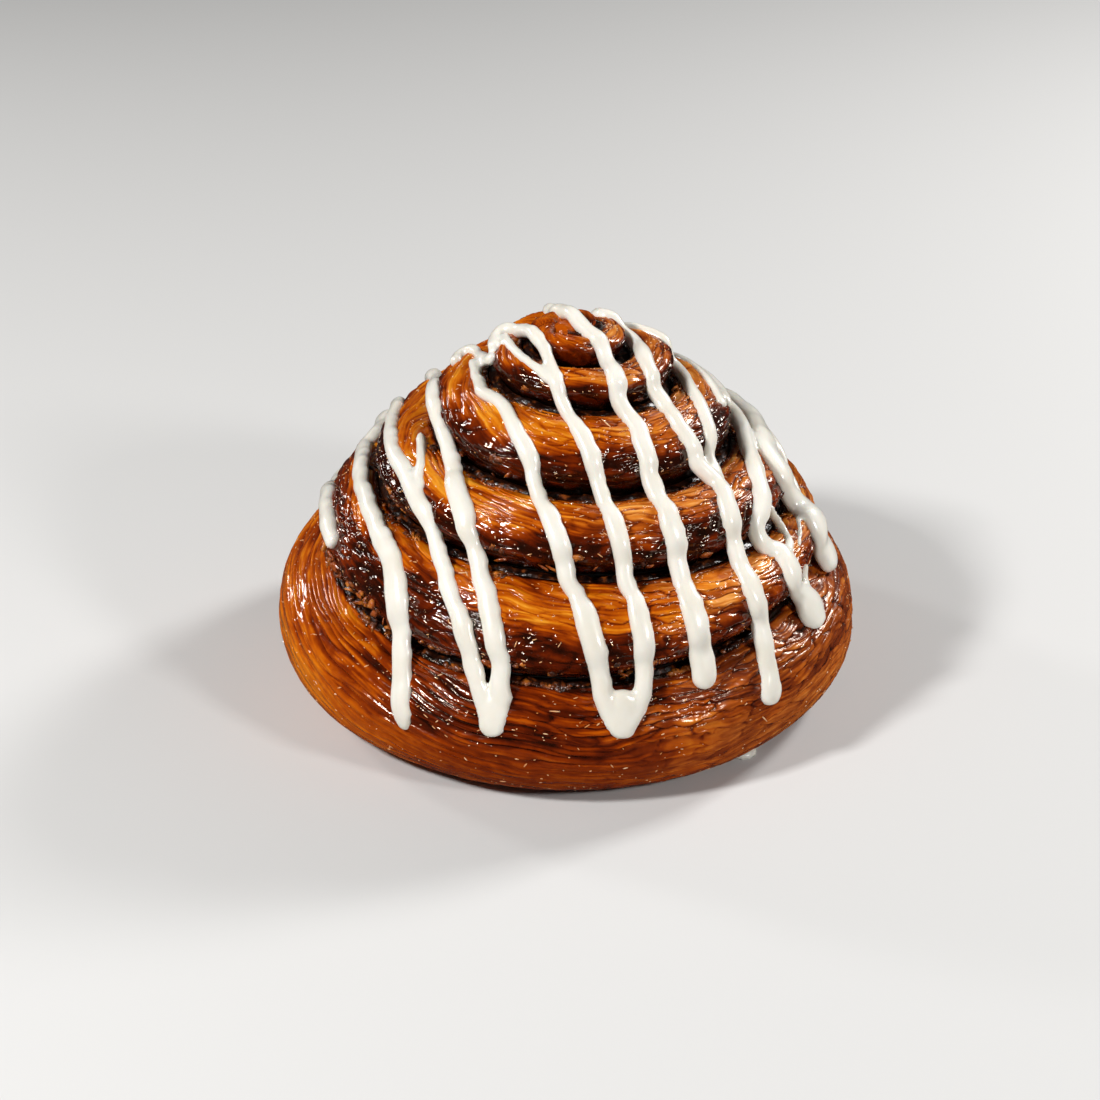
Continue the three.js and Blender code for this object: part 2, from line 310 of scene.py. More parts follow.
GLOSSY_PATCHES = (71, 7 * MM, 4 * MM)
FLAKE_MIDDLES = (0.08, 0.92)
FLAKE_RIM = 0.13
FAR_OFF = 9.0

# The turn angles over which the crust of the coil's heart and of its young turns passes into the rest.
HEART_FADE = (120, -60)
YOUNG_FADE = (480, 60)

# The foot's own kind of crust sets in between these turn angles, and its lower part between these depths.
FOOT_FROM = TAIL_RUNS_OUT - 30
FOOT_FULL = TAIL_RUNS_OUT + 50
LOW_FOOT_FROM = 10 * MM
LOW_FOOT_FULL = 20 * MM

# Where the dark, craggy lower part of a turn's face begins, as a share of its width, at turn angles, and how
# dark it is there.
DARK_TURNS = (0, 360, 720, 990, 1080, 1200, 1290, 1340, 1390, 1410, 1428, 1500, 1690)
DARK_BEGINS = (0.66, 0.63, 0.58, 0.52, 0.54, 0.54, 0.4, 0.24, 0.3, 0.32, 0.54, 0.6, 0.7)
DARK_DEPTHS = (0.66, 0.82, 0.84, 0.84, 0.82, 0.8, 0.76, 0.74, 0.78, 0.8, 0.72, 0.64, 0.62)
RAGGEDNESS = 0.07
DARK_FADE = (-0.12, 0.16)

# How dark the crust is baked, from 0 to 1, and how much each mark darkens or lightens it. Creases and flake
# edges are darkened with toast and painted shade, lips and the pit with painted shade, and the crags are
# lighter on their blisters and darker between them, like the ridge fibres' lighter tops, as painted highlight
# and shade.
FRESH_TOAST = 0.2
BROAD_MOTTLE = 0.1
FINE_MOTTLE = 0.09
CREASE_SHADE_AND_TOAST = 0.34
DARK_CREASE_SHADE_AND_TOAST = 0.42
CRAG_LIGHT_AND_SHADE = 0.28
PAINTED_RIDGE_GLINT = 0.11
FLAKE_TONE = 0.12
FLAKE_EDGE_SHADE_AND_TOAST = 0.36
LIP_SHADE = 0.6
LIP_SHADE_WIDTH = 0.9 * MM
PIT_SHADE = 0.5
PIT_DEPTH = 1.5 * MM
TOAST_LIMIT = 0.9


def creased(pattern, along, across):
    """Rounded ridges that run on, fork and end, from 0 in the sharp creases between them to 1."""
    return np.clip(RIDGE_FULLNESS * np.abs(patches(pattern, along, across)), 0, 1) ** RIDGE_ROUNDING


def flake_cells(pattern, along, across):
    """Flat flakes of crust: how far in from its flake's edge a place is, from 0 to 1, the flake's own tone,
    from -1 to 1, and how far down the flake the place is."""
    rng = np.random.default_rng(pattern[0])
    middles = rng.uniform(*FLAKE_MIDDLES, (LATTICE, LATTICE, 2))
    tones = rng.uniform(-1, 1, (LATTICE, LATTICE))
    u, v, row, column = on_lattice(pattern, along, across)
    nearest = np.full(u.shape, FAR_OFF)
    second = np.full(u.shape, FAR_OFF)
    tone = np.zeros(u.shape)
    down = np.zeros(u.shape)
    for i in (-1, 0, 1):
        for j in (-1, 0, 1):
            cell = ((row + i) % LATTICE, (column + j) % LATTICE)
            over = v - (column + j) - middles[cell][..., 1]
            away = np.hypot(u - (row + i) - middles[cell][..., 0], over)
            closer = away < nearest
            second = np.where(closer, nearest, np.minimum(second, away))
            nearest = np.where(closer, away, nearest)
            tone = np.where(closer, tones[cell], tone)
            down = np.where(closer, over, down)
    return np.clip((second - nearest) / FLAKE_RIM, 0, 1), tone, down


def dark_share(turn, across, run, rise):
    """How much of the dark, craggy lower part of a turn's face there is, from 0 to 1."""
    begins = np.interp(turn, DARK_TURNS, DARK_BEGINS)
    ragged = RAGGEDNESS * patches(BROAD_RAGS, run, rise) + RAGGEDNESS * patches(FINE_RAGS, run, rise)
    return smoothstep(across + ragged - begins, *DARK_FADE) * smoothstep(turn, FOOT_FULL, FOOT_FROM)


def crust_place(turn, across, core):
    """Where a point of the crust lies, and how much there is there of each kind of crust, from 0 to 1."""
    run = run_at(turn)
    upper = upper_edge(turn, core)
    edge = groove_arc(turn - TURN)
    rise = upper + (groove_arc(turn) - upper) * across - edge
    if core:
        joined = np.clip(rise / (groove_arc(turn) - edge + 0.001 * MM), 0, 1)
        across = mix(across, joined, smoothstep(turn, -QUARTER, 0))
    at = SimpleNamespace(turn=turn, across=across, run=run, rise=rise, arc=edge + rise)
    at.side = np.sin(np.radians(turn))
    at.heart = smoothstep(turn, *HEART_FADE)
    at.foot = smoothstep(turn, FOOT_FROM, FOOT_FULL)
    at.low_foot = at.foot * smoothstep(rise, LOW_FOOT_FROM, LOW_FOOT_FULL)
    at.dark = dark_share(turn, across, run, rise)
    at.right = smoothstep(at.side + 0.5 * patches(RIGHT_BLEND, run, rise), -0.45, 0.55)
    at.furrowed = at.foot * (1 - at.low_foot) * (1 - at.right)
    at.quiet = mix(1, mix(0.4, 0.8, at.right), at.low_foot)
    return at


def crust_patterns(turn, across, core):
    """A place on the crust with the patterns of its layers, and how strongly each kind of layer shows."""
    at = crust_place(turn, across, core)
    drift = SLANT * MEAN_RADIUS * (np.radians(turn) + np.cos(np.radians(turn))) / 2
    small_bend = SMALL_BEND * (1 - 0.8 * at.furrowed)
    bend = BROAD_BEND * patches(BROAD_BENDS, at.run, at.rise)
    at.fan = at.rise - drift + bend + small_bend * patches(SMALL_BENDS, at.run, at.rise)
    at.leaf, at.ridge, at.fibre = (creased(pattern, at.run, at.fan) for pattern in (LEAVES, RIDGES, FIBRES))
    jog = FLAKE_JOG * patches(FLAKE_JOGS, at.run, at.rise)
    at.rim, at.tone, at.down = flake_cells(FLAKES, at.run + 2 * jog, at.fan + jog)
    blister = creased(BLISTERS, at.run + at.fan, at.rise)
    wrinkle = creased(WRINKLES, at.run, at.rise - 0.5 * at.run)
    at.crag = 0.85 * blister + 0.15 * wrinkle
    calm = at.quiet * (1 - 0.4 * at.dark)
    at.leaved = mix(0.3, 0.6, at.right) * (1 + 0.6 * at.heart) * calm * (1 - 0.8 * at.furrowed)
    at.ridged = mix(1.2, 0.3, at.right) * calm
    at.flaked = mix(0.2, 1, at.right) * mix(1, 0.55, at.low_foot) * (1 - 0.5 * at.dark) * (1 - at.furrowed)
    return at


def crust_relief(turn, across, core):
    """How far the crust's fine relief stands off a turn's face. It fades out at the face's two edges."""
    at = crust_patterns(turn, across, core)
    relief = LEAF_HEIGHT * at.leaved * mix(1, 0.6, at.right) * (at.leaf - RIDGE_LEVEL)
    relief = relief + FLAKE_HEIGHT * at.flaked * (at.rim**0.6 - 0.8 + 0.7 * at.down)
    relief = relief + RIDGE_HEIGHT * at.ridged * (1 + 0.9 * at.furrowed) * (at.ridge - RIDGE_LEVEL)
    relief = relief + FIBRE_HEIGHT * at.quiet * (at.fibre - RIDGE_LEVEL)
    relief = relief + CRAG_HEIGHT * mix(0.1, 1, at.dark) * (at.crag - RIDGE_LEVEL)
    return relief * np.clip(np.sin(np.pi * np.clip(at.across, 0, 1)) * 6, 0, 1)


def baked_toast_and_shade(at):
    """How dark the crust is baked before its marks: darker low on each turn, darker in front at the foot as
    painted shade, and lighter on the left and darker on the right as painted light.
    """
    young = smoothstep(at.turn, *YOUNG_FADE)
    # Painted shade: the foot is darker in front. Painted light: the left side is lighter and the right
    # darker, and the foot's far left lighter still.
    shaded_front = smoothstep(np.cos(np.radians(at.turn)), 0.5, 1) * (1 - 0.8 * smoothstep(at.side, 0.05, 0.45))
    away_from_lit_left = smoothstep(at.side, -0.95, -0.4)
    unmarked_toast_and_shade = FRESH_TOAST + 0.08 * young + 0.07 * at.heart + 0.04 * at.side
    unmarked_toast_and_shade = unmarked_toast_and_shade + at.foot * (mix(0.14, 0.08, at.low_foot) + 0.15 * shaded_front + 0.09 * away_from_lit_left)
    return mix(unmarked_toast_and_shade, np.maximum(np.interp(at.turn, DARK_TURNS, DARK_DEPTHS), unmarked_toast_and_shade), at.dark)


def crust_toast_and_shade(at):
    """How dark the crust is baked with its mottles and flakes, from 0 to 1, with toast and painted shade in
    its creases and flake edges, painted shade under its lips and in its pit, and painted highlights on its
    ridge fibres and blisters.
    """
    # Toast and painted shade: darker in the creases between leaves, ridges and fibres.
    crease_shade = at.leaved * (1 - at.leaf) ** 1.5 + 0.9 * at.ridged * (1 - at.ridge) ** 1.5
    crease_shade = crease_shade + 0.2 * at.quiet * (1 - at.fibre)
    crease_shade = crease_shade * (1 - 0.5 * at.dark) * (1 - 0.3 * at.foot) * (1 + 0.4 * at.furrowed)
    mottle = BROAD_MOTTLE * patches(BROAD_MOTTLES, at.run, at.rise)
    mottle = mottle + FINE_MOTTLE * patches(FINE_MOTTLES, at.run, at.fan)
    # Painted highlights: thin lighter lines along the tops of the fibres.
    ridge_glint = at.quiet * smoothstep(at.fibre, 0.82, 1) * (1 - 0.6 * at.dark)
    marks = mottle + mix(CREASE_SHADE_AND_TOAST, DARK_CREASE_SHADE_AND_TOAST, at.dark) * crease_shade
    toast_and_shade = baked_toast_and_shade(at) + mix(1, mix(0.35, 0.7, at.right), at.low_foot) * marks
    # Painted highlight and shade: the dark crust is lighter on its blisters and darker between them.
    toast_and_shade = toast_and_shade + CRAG_LIGHT_AND_SHADE * at.dark * (0.68 - at.crag)
    toast_and_shade = toast_and_shade + 0.01 - PAINTED_RIDGE_GLINT * ridge_glint
    # Each flake's own tone, and toast and painted shade that darken its cracked edges.
    flake_tone_and_shade = FLAKE_TONE * at.tone + FLAKE_EDGE_SHADE_AND_TOAST * (1 - at.rim) ** 1.5
    toast_and_shade = toast_and_shade + 0.04 * at.furrowed + at.flaked * flake_tone_and_shade
    # Painted shade: darker at the face's upper edge under the turn above, and at its own lower lip over the
    # next groove.
    lower_lip_shade = (1 - at.foot) * smoothstep(at.across, 0.93, 1)
    lower_lip_shade = lower_lip_shade * smoothstep(at.turn, -TURN + GROWN_OUT, -TURN + 3 * GROWN_OUT)
    lip = smoothstep(at.rise, LIP_SHADE_WIDTH, 0) * smoothstep(at.turn, 0, GROWN_OUT) + 0.6 * lower_lip_shade
    # Painted shade: darker down in the eye's pit and the hollow beside it.
    pit_shade = np.clip(-dented(at.arc, at.turn) / PIT_DEPTH, 0, 1)
    return np.clip(np.minimum(toast_and_shade, TOAST_LIMIT) + LIP_SHADE * lip + PIT_SHADE * pit_shade, 0, 1)


def crust_looks(turn, across, core):
    """How dark the crust is baked, with its painted light and shade, how glossy and how flaky it is, each
    from
    0 to 1, and its grain: how far along the strip and across its layers a point lies, and how dark and craggy
    the crust is there."""
    at = crust_patterns(turn, across, core)
    gloss = 0.6 - mix(0.35, 0.5, at.right) * at.side + 0.2 * at.dark - 0.35 * at.low_foot - 0.35 * at.furrowed
    gloss = gloss + 0.3 * patches(GLOSSY_PATCHES, at.run, at.rise)
    gloss = gloss - 0.45 * at.foot * smoothstep(at.side, 0, 0.4)
    flaky = smoothstep(at.side + 0.3 * patches(FLAKY_BLEND, at.run, at.rise), 0.1, 0.75) * (1 - at.dark)
    grain = np.stack([at.run, at.fan, at.dark], axis=-1)
    return crust_toast_and_shade(at), np.clip(gloss, 0, 1), flaky, grain


def face_flat(turn, across, core):
    """Points of the strip's face, as radius and height, with the crust's relief on it."""
    upper = upper_edge(turn, core)
    width = groove_arc(turn) - upper
    beyond = np.clip((across - LIP_FROM) / (1 - LIP_FROM), 0, 1)
    opened = smoothstep(TAIL_RUNS_OUT - turn, 0, MOUTH_CLOSES)
    lip = LIP * np.sin(np.pi * beyond) * opened
    height = plain_height(turn, across, core) + crust_relief(turn, across, core)
    flat = off_dome(upper + width * (across + lip), height)
    if not core:
        flat[..., 0] += slot_half(turn - TURN) * (1 - across) ** MOUTH_ROUNDING
    flat[..., 0] -= slot_half(turn) * across**MOUTH_ROUNDING * opened
    flat[..., 1] = np.maximum(flat[..., 1], 0)
    return flat


# How dark and glossy the strip's hidden sides are, painted nearly black as shade in the grooves, and how near
# points lie that are welded.
HIDDEN_SIDE_SHADE = 0.95
HIDDEN_GLOSS = 0.3
WELD = 0.002 * MM


def strip_sheet(name, start, end, step, columns):
    """A sheet to sweep along the strip, with each of its points' share across and turn angle."""
    rows = max(int((run_at(end) - run_at(start)) / step), 12)
    runs = np.linspace(run_at(start), run_at(end), rows + 1)
    stations = np.interp(runs, RUN_LENGTHS, RUN_TURNS)
    bm = bmesh.new()
    bmesh.ops.create_grid(bm, x_segments=columns, y_segments=rows, size=0.5)
    bmesh.ops.translate(bm, vec=(0.5, 0.5, 0), verts=bm.verts)
    mesh = mesh_of(bm, name)
    places = corner_places(mesh)
    return mesh, places[:, 0], stations[np.rint(places[:, 1] * rows).astype(int)]


def mesh_of(bm, name):
    mesh = bpy.data.meshes.new(name)
    bm.to_mesh(mesh)
    bm.free()
    return mesh


def corner_places(mesh):
    places = np.empty(len(mesh.vertices) * 3)
    mesh.vertices.foreach_get("co", places)
    return places.reshape(-1, 3)


def note(mesh, name, kind, values):
    """Writes values on the mesh's points for its material to read."""
    attribute = mesh.attributes.new(name, kind, "POINT")
    key = "vector" if kind == "FLOAT_VECTOR" else "value"
    attribute.data.foreach_set(key, np.ascontiguousarray(values, np.float32).ravel())


def note_looks(mesh, toast_and_shade, gloss, flaky, grain):
    """Notes the crust's looks on the points of a piece of dough."""
    for name, values in (("toast_and_shade", toast_and_shade), ("gloss", gloss), ("flaky", flaky)):
        note(mesh, name, "FLOAT", values)
    note(mesh, "grain", "FLOAT_VECTOR", grain)


def add_piece(name, mesh, material, slot, *nodes):
    """Shows a finished mesh as a piece of the roll."""
    piece = bpy.data.objects.new(name, mesh)
    bpy.context.scene.collection.objects.link(piece)
    mesh.materials.clear()
    mesh.materials.append(material)
    mesh.shade_smooth()
    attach(piece, "root")
    if nodes:
        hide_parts(*nodes)
    return piece


def close_ends(mesh):
    """Welds a swept sheet's long seam, fills its open ends and turns its faces outwards."""
    bm = bmesh.new()
    bm.from_mesh(mesh)
    bmesh.ops.remove_doubles(bm, verts=bm.verts, dist=WELD)
    rims = [edge for edge in bm.edges if edge.is_boundary]
    filled = bmesh.ops.holes_fill(bm, edges=rims, sides=0)
    for face in filled["faces"]:
        for edge in face.edges:
            edge.smooth = False
    bmesh.ops.recalc_face_normals(bm, faces=bm.faces)
    bm.to_mesh(mesh)
    bm.free()


def foot_corners(turn, core):
    """The strip's outer and inner corners on the ground, and the first point of its face, at turn angles."""
    last = face_flat(turn, np.ones_like(turn), core)
    outer = np.where(turn < TAIL_RUNS_OUT, foot_radius(turn) - slot_half(turn), last[:, 0] - TAIL_EDGE)
    inner = foot_radius(turn - TURN) + slot_half(turn - TURN)
    if core:
        inner = np.full_like(turn, CORE_INSIDE)
    ground = np.zeros_like(turn)
    first = face_flat(turn, np.zeros_like(turn), core)
    return np.stack([outer, ground], axis=-1), np.stack([inner, ground], axis=-1), first


def strip_mesh(name, start, end, points, crowding, core):
    """One length of the dough strip: its crust, its two hidden sides and its foot."""
    columns = points + 3
    mesh, share_across, turn = strip_sheet(name, start, end, ALONG_STEP, columns)
    column = np.rint(share_across * columns).astype(int)
    share = np.clip(column / points, 0, 1)
    across = (0.75 * share + 0.25 * (0.5 - 0.5 * np.cos(np.pi * share))) ** crowding
    section = face_flat(turn, across, core)
    for beyond, corner in enumerate(foot_corners(turn, core), start=1):
        section = np.where((column == points + beyond)[:, None], corner, section)
    mesh.vertices.foreach_set("co", around(section, turn).ravel())
    toast_and_shade, gloss, flaky, grain = crust_looks(turn, across, core)
    hidden = column > points
    # The hidden sides, seen only down in the grooves, are painted nearly black as shade.
    toast_and_shade = np.where(hidden, HIDDEN_SIDE_SHADE, toast_and_shade)
    note_looks(mesh, toast_and_shade, np.where(hidden, HIDDEN_GLOSS, gloss), flaky, grain)
    close_ends(mesh)
    return mesh


def make_dough(material):
    for name, start, end, points, crowding in DOUGH_LENGTHS:
        mesh = strip_mesh(name, start, end, points, crowding, core=end <= 0)
        add_piece(name, mesh, material, "dough", "iced_dough")


# The knob of dough in the eye, turned round the axis.
KNOB_TOP = TIP_HEIGHT - EYE_DEPTH
KNOB_RADIUS = EYE_RADIUS + EYE_WALL
KNOB_SIDES = 48
KNOB_TOAST = 0.35
KNOB_GLOSS = 0.6


def make_knob(material):
    bm = bmesh.new()
    profile = (
        (0, 0),
        (KNOB_RADIUS, 0),
        (KNOB_RADIUS, KNOB_TOP - 0.9 * MM),
        (0.8 * KNOB_RADIUS, KNOB_TOP - 0.35 * MM),
        (0.5 * KNOB_RADIUS, KNOB_TOP),
        (0, KNOB_TOP + 0.3 * MM),
    )
    corners = [bm.verts.new((radius, 0, height)) for radius, height in profile]
    edges = [bm.edges.new(pair) for pair in zip(corners, corners[1:])]
    full_turn = {"cent": (0, 0, 0), "axis": (0, 0, 1), "angle": 2 * math.pi, "use_merge": True}
    bmesh.ops.spin(bm, geom=corners + edges, steps=KNOB_SIDES, **full_turn)
    bmesh.ops.remove_doubles(bm, verts=bm.verts, dist=WELD)
    bmesh.ops.recalc_face_normals(bm, faces=bm.faces)
    mesh = mesh_of(bm, "dough_knob")
    places = corner_places(mesh)
    even = np.ones(len(places))
    note_looks(mesh, KNOB_TOAST * even, KNOB_GLOSS * even, 0 * even, places)
    add_piece("dough_knob", mesh, material, "dough", "iced_dough")


# The cinnamon layer between the turns, seen at the bottom of the grooves. Its lumps and grains have a seed, a
# length, and a width as a share of the layer's.
FILLING_START = -288
FILLING_END = 1632
FILLING_HALF = 1.15 * MM
FILLING_FOOT = 0.5 * MM
FILLING_STEP = 0.6 * MM
FILLING_POINTS = 14
FILLING_CROWN = 0.9 * MM
FILLING_SINK = 0.3 * MM
FILLING_LUMPS = (61, 1.6 * MM, 0.16)
FILLING_GRAINS = (62, 0.7 * MM, 0.1)


def make_filling(material):
    sweep = (FILLING_START, FILLING_END, FILLING_STEP, FILLING_POINTS)
    mesh, share, turn = strip_sheet("cinnamon_filling", *sweep)
    root = off_dome(groove_arc(turn), -groove_depth(turn))
    base = foot_radius(turn)
    over = np.pi * np.clip((share - 0.15) / 0.7, 0, 1)
    lump = patches(FILLING_LUMPS, run_at(turn), share) + 0.6 * patches(FILLING_GRAINS, run_at(turn), share)
    crown = FILLING_CROWN * np.sin(over) * (0.6 + 0.5 * lump)
    top = np.stack([root[:, 0] + FILLING_HALF * np.cos(over), root[:, 1] - FILLING_SINK + crown], axis=-1)
    foot_side = np.where((share < 0.5) | (share > 0.999), FILLING_HALF, -FILLING_HALF)
    foot = np.stack([base + foot_side, np.full_like(base, FILLING_FOOT)], axis=-1)
    at_foot = (share < 0.05) | (share > 0.95)
    mesh.vertices.foreach_set("co", around(np.where(at_foot[:, None], foot, top), turn).ravel())
    close_ends(mesh)
    add_piece("cinnamon_filling", mesh, material, "filling", "cinnamon_filling")


# The drizzle. Each strand has a width at its start and at its end, how thick it lies, how much it swells to
# its drop, the length of its tip, all in millimetres but the swelling, and a path of right and back positions
# on the dome's skin when it is peeled flat round the roll's tip. Most paths run from behind over the top to a
# drop in front.
LEFT_EDGE = [(-56, 38), (-63, 18), (-63.4, 8), (-62.4, 0), (-61.8, -7), (-61.4, -13), (-60, -24)]
LEFT = [
    (-46, 42), (-48.6, 18), (-52.2, 10), (-52.6, 0), (-52.1, -9.5), (-50.2, -19), (-48.2, -27),
    (-45.6, -34.4), (-43.3, -40.7), (-42.4, -46), (-42.4, -51), (-43.7, -57.7), (-44.5, -62.6),
    (-45.9, -68.2), (-46.9, -75.6),
]
LEFT_PAIR_A = [
    (-45, 58), (-41.5, 14), (-42.1, 3.4), (-42, -6.6), (-39.6, -17.7), (-36.1, -27.6), (-32.8, -37.3),
    (-31, -46.4), (-28, -55.6), (-26.4, -60), (-25, -68), (-24, -72), (-23, -76), (-21.2, -81.5),
]
LEFT_PAIR_B = [
    (-40, 64), (-33, 24), (-31, 8), (-30.2, -4.5), (-29.8, -13.2), (-27.5, -24.2), (-26.4, -31.3),
    (-23.4, -41.4), (-22, -49.3), (-19.7, -57.7), (-18.6, -61.7), (-17.6, -69.3), (-17.9, -74),
    (-18.6, -78), (-20.2, -81.5),
]
LEFT_PAIR_DROP = [(-20.6, -75.5), (-20.6, -83.6)]
LEFT_TWIG = [(-35.4, -11.5), (-34.9, -17), (-34.3, -23), (-34, -30)]
LEFT_CURL = [(-25, 3.5), (-24.3, 8), (-21.5, 8), (-19, 0), (-15.5, -6.5)]
MIDDLE_PAIR_A = [
    (-21.5, 1), (-20, -9.5), (-18, -14.5), (-14, -19.5), (-9, -31), (-7.8, -36.3), (-6.1, -40.5),
    (-3.9, -45), (-0.9, -52.3), (0.2, -56), (2.5, -59.7), (5.8, -67), (8.4, -74), (9.9, -77.7), (12.3, -81),
    (15, -83.4),
]
MIDDLE_PAIR_BACK = [(-24, 50), (-18, 26), (-15.5, 12), (-14.5, 4)]
MIDDLE_PAIR_B = [
    (-15, -4.1), (-15.1, 1), (-13.6, 3.6), (-11.3, 2.8), (-8.9, 0), (-6, -5.5), (-4, -11.1), (-2.6, -16.4),
    (-1.4, -20.2), (1.7, -26.2), (5, -31.5), (6.7, -36.5), (8.4, -40.2), (11.8, -48), (14.1, -54.9),
    (16.1, -58.4), (19, -67.2), (19.7, -72.8), (19.3, -77), (17.7, -80.5), (15.4, -83.4),
]
MIDDLE_PAIR_DROP = [(14.1, -75.2), (15.4, -84.8)]
MIDDLE_LOOP = [(-13.1, 0.9), (-12, -3.9), (-9.9, -8.6), (-7.2, -12.2), (-3.8, -17)]
RIGHT_SINGLE = [
    (2, 42), (-3, 22), (-3.4, 12), (-2.4, 7), (-0.6, 3.6), (1.2, 0.3), (3.1, -3.2), (5.7, -5.8),
    (7.5, -8.2), (9.2, -12.3), (11.3, -18.4), (14.8, -22.8), (16.9, -27.5), (19.5, -33.6), (21.5, -37.4),
    (25, -44.8), (28.1, -51.9), (29.6, -55.2), (31.2, -58.6), (35.2, -65.1), (37.2, -70.5),
]
RIGHT_LONG = [
    (0, 50), (4.5, 20), (7, 10.5), (10.5, 8.5), (13.5, 6.5), (15.4, 2), (16.3, -6.1), (18.5, -10.4),
    (21.6, -13.4), (24.1, -18), (27.2, -20.6), (29.4, -22.6), (30.8, -24.7), (34.9, -26.1), (36.9, -30.7),
    (38.4, -34.5), (40.7, -37.3), (42.8, -41.2), (46.8, -47.9), (49.9, -50.3), (54.3, -56.8), (58.2, -65),
]
RIGHT_SWELL = [(14.8, 4.5), (15.6, 0.5), (16.3, -6.1), (18.5, -10.4), (21.6, -13.4), (23.5, -17)]
RIGHT_SHORT = [
    (2, 52), (9, 30), (13.5, 16), (17.5, 12.6), (21.5, 10), (25.5, 9), (27.6, 4.5), (28.9, -4.6),
    (31.1, -11.3), (32.8, -15.5), (33.4, -18.6), (34.2, -21.5), (36.8, -26),
]
RIGHT_FAR = [
    (18, 52), (37, 16), (42, 8), (44, -3), (45, -14), (45.3, -18.6), (46.7, -23.3), (46.4, -28.7),
    (47.7, -31.6), (50.2, -32.3), (53.4, -31.5), (55.6, -33.2), (58, -35.4), (64, -34.5), (71, -36),
]
FAR_SPUR = [(49.5, -22), (52.6, -20.9), (55.2, -22.2), (56, -25.5), (56, -31)]
FAR_TWIG = [(61, -28), (64, -30), (66, -34)]
FAR_THREAD = [(57, -3), (59.5, -9.9), (59.3, -18), (58.6, -25.6)]
RIGHT_EDGE = [
    (26, 58), (44, 22), (47.5, 11), (48.5, 0.5), (50, -4.5), (52.3, -7), (56, -8), (60, -8.5),
    (64.5, -11.5), (70, -11), (75, -11.5),
]
EDGE_ARM = [(42, 28), (46.5, 20.5), (50.5, 15), (55, 9), (59, 2.5), (61.5, -4), (64.5, -10.5)]
FAN_A = [(8, 56), (15, 45), (22, 32), (26.5, 19), (29.5, 13), (33, 7), (36, -2)]
FAN_B = [(20, 40), (25, 29), (29.5, 19), (33, 15), (36, 10), (38.2, 3)]
FAN_C = [(32, 50), (38, 38), (42.5, 27), (45, 19), (47.5, 11), (49, 2)]
FAN_D = [(41, 40), (45, 26), (48, 20.5), (50.5, 14), (52, 4)]
STRANDS = (
    (3.0, 4.4, 1.8, 0.9, 3.4, LEFT_EDGE),
    (4.3, 4.9, 1.6, 1.0, 7.0, LEFT),
    (2.6, 4.2, 1.5, 1.0, 3.4, LEFT_PAIR_A),
    (2.5, 4.5, 1.6, 1.0, 3.2, LEFT_PAIR_B),
    (5.4, 6.0, 1.6, 1.0, 3.8, LEFT_PAIR_DROP),
    (1.8, 2.1, 1.0, 1.0, 1.2, LEFT_TWIG),
    (2.4, 2.8, 1.3, 1.0, 1.5, LEFT_CURL),
    (2.3, 4.9, 1.6, 1.0, 3.6, MIDDLE_PAIR_A),
    (2.4, 2.4, 1.0, 1.0, 2.0, MIDDLE_PAIR_BACK),
    (2.5, 4.4, 1.6, 1.0, 3.6, MIDDLE_PAIR_B),
    (7.0, 7.6, 1.7, 1.0, 4.4, MIDDLE_PAIR_DROP),
    (1.7, 2.0, 1.1, 1.0, 1.2, MIDDLE_LOOP),
    (2.7, 5.0, 1.7, 1.2, 2.8, RIGHT_SINGLE),
    (1.9, 4.9, 1.7, 1.22, 2.9, RIGHT_LONG),
    (2.2, 4.4, 1.5, 1.0, 4.0, RIGHT_SWELL),
    (2.2, 3.1, 1.4, 1.0, 2.0, RIGHT_SHORT),
    (2.4, 5.2, 1.9, 2.0, 4.5, RIGHT_FAR),
    (0.9, 2.2, 1.0, 1.0, 1.2, FAR_SPUR),
    (1.8, 2.3, 1.0, 1.0, 1.2, FAR_TWIG),
    (0.8, 1.0, 0.7, 1.0, 0.8, FAR_THREAD),
    (3.0, 8.3, 2.4, 1.3, 4.6, RIGHT_EDGE),
    (2.6, 2.9, 1.5, 1.0, 1.5, EDGE_ARM),
    (1.6, 4.0, 0.9, 0.8, 3.0, FAN_A),
    (1.6, 3.2, 0.9, 0.8, 3.0, FAN_B),
    (1.8, 3.6, 0.9, 0.8, 3.0, FAN_C),
    (1.8, 3.0, 0.9, 0.8, 3.0, FAN_D),
)
ICING_UNDER = 1.2 * MM
ICING_SAG = -1.5 * MM
ICING_RING_STEP = 0.4 * MM
ICING_SIDES = 22
ICING_VOXEL = 0.46 * MM
DROP_FROM = 11 * MM
PATH_SAMPLES = 600
SETTLED_OVER = 4

# How uneven the strands are. Each unevenness has its first seed, its size and the length of its patches.
WANDER = (60, 0.2 * MM, 3.4 * MM)
RIPPLE = (80, 0.06, 2.6 * MM)
THICKENING = (100, 0.1, 5 * MM)
SCALLOP = (120, 0.26 * MM, 1.5 * MM)

# How wide a strand lies low in a groove and high on a crown, for its width.
SPREAD = (0.88, 1.05)
RAISED_FROM = 0.4 * MM

# The splash of icing at the foot: its place right and back, its radius and its height.
SPLASH = (33.5 * MM, -35 * MM, 3.2 * MM, 1.8 * MM)


def skin_height(arc, angle):
    """The height of the turns' faces off the dome at a length of skin from the tip and an angle."""
    turn = np.where(angle < 0, angle, angle - TURN).astype(float)
    for _ in range(len(GROOVES) + 1):
        turn = np.where((turn < STRIP_END) & (groove_arc(turn) < arc), turn + TURN, turn)
    heights = np.empty_like(arc)
    for core in (True, False):
        here = (turn < 0) == core
        upper = upper_edge(turn[here], core)
        across = np.clip((arc[here] - upper) / (groove_arc(turn[here]) - upper), 0, 1)
        heights[here] = plain_height(turn[here], across, core)
    return heights


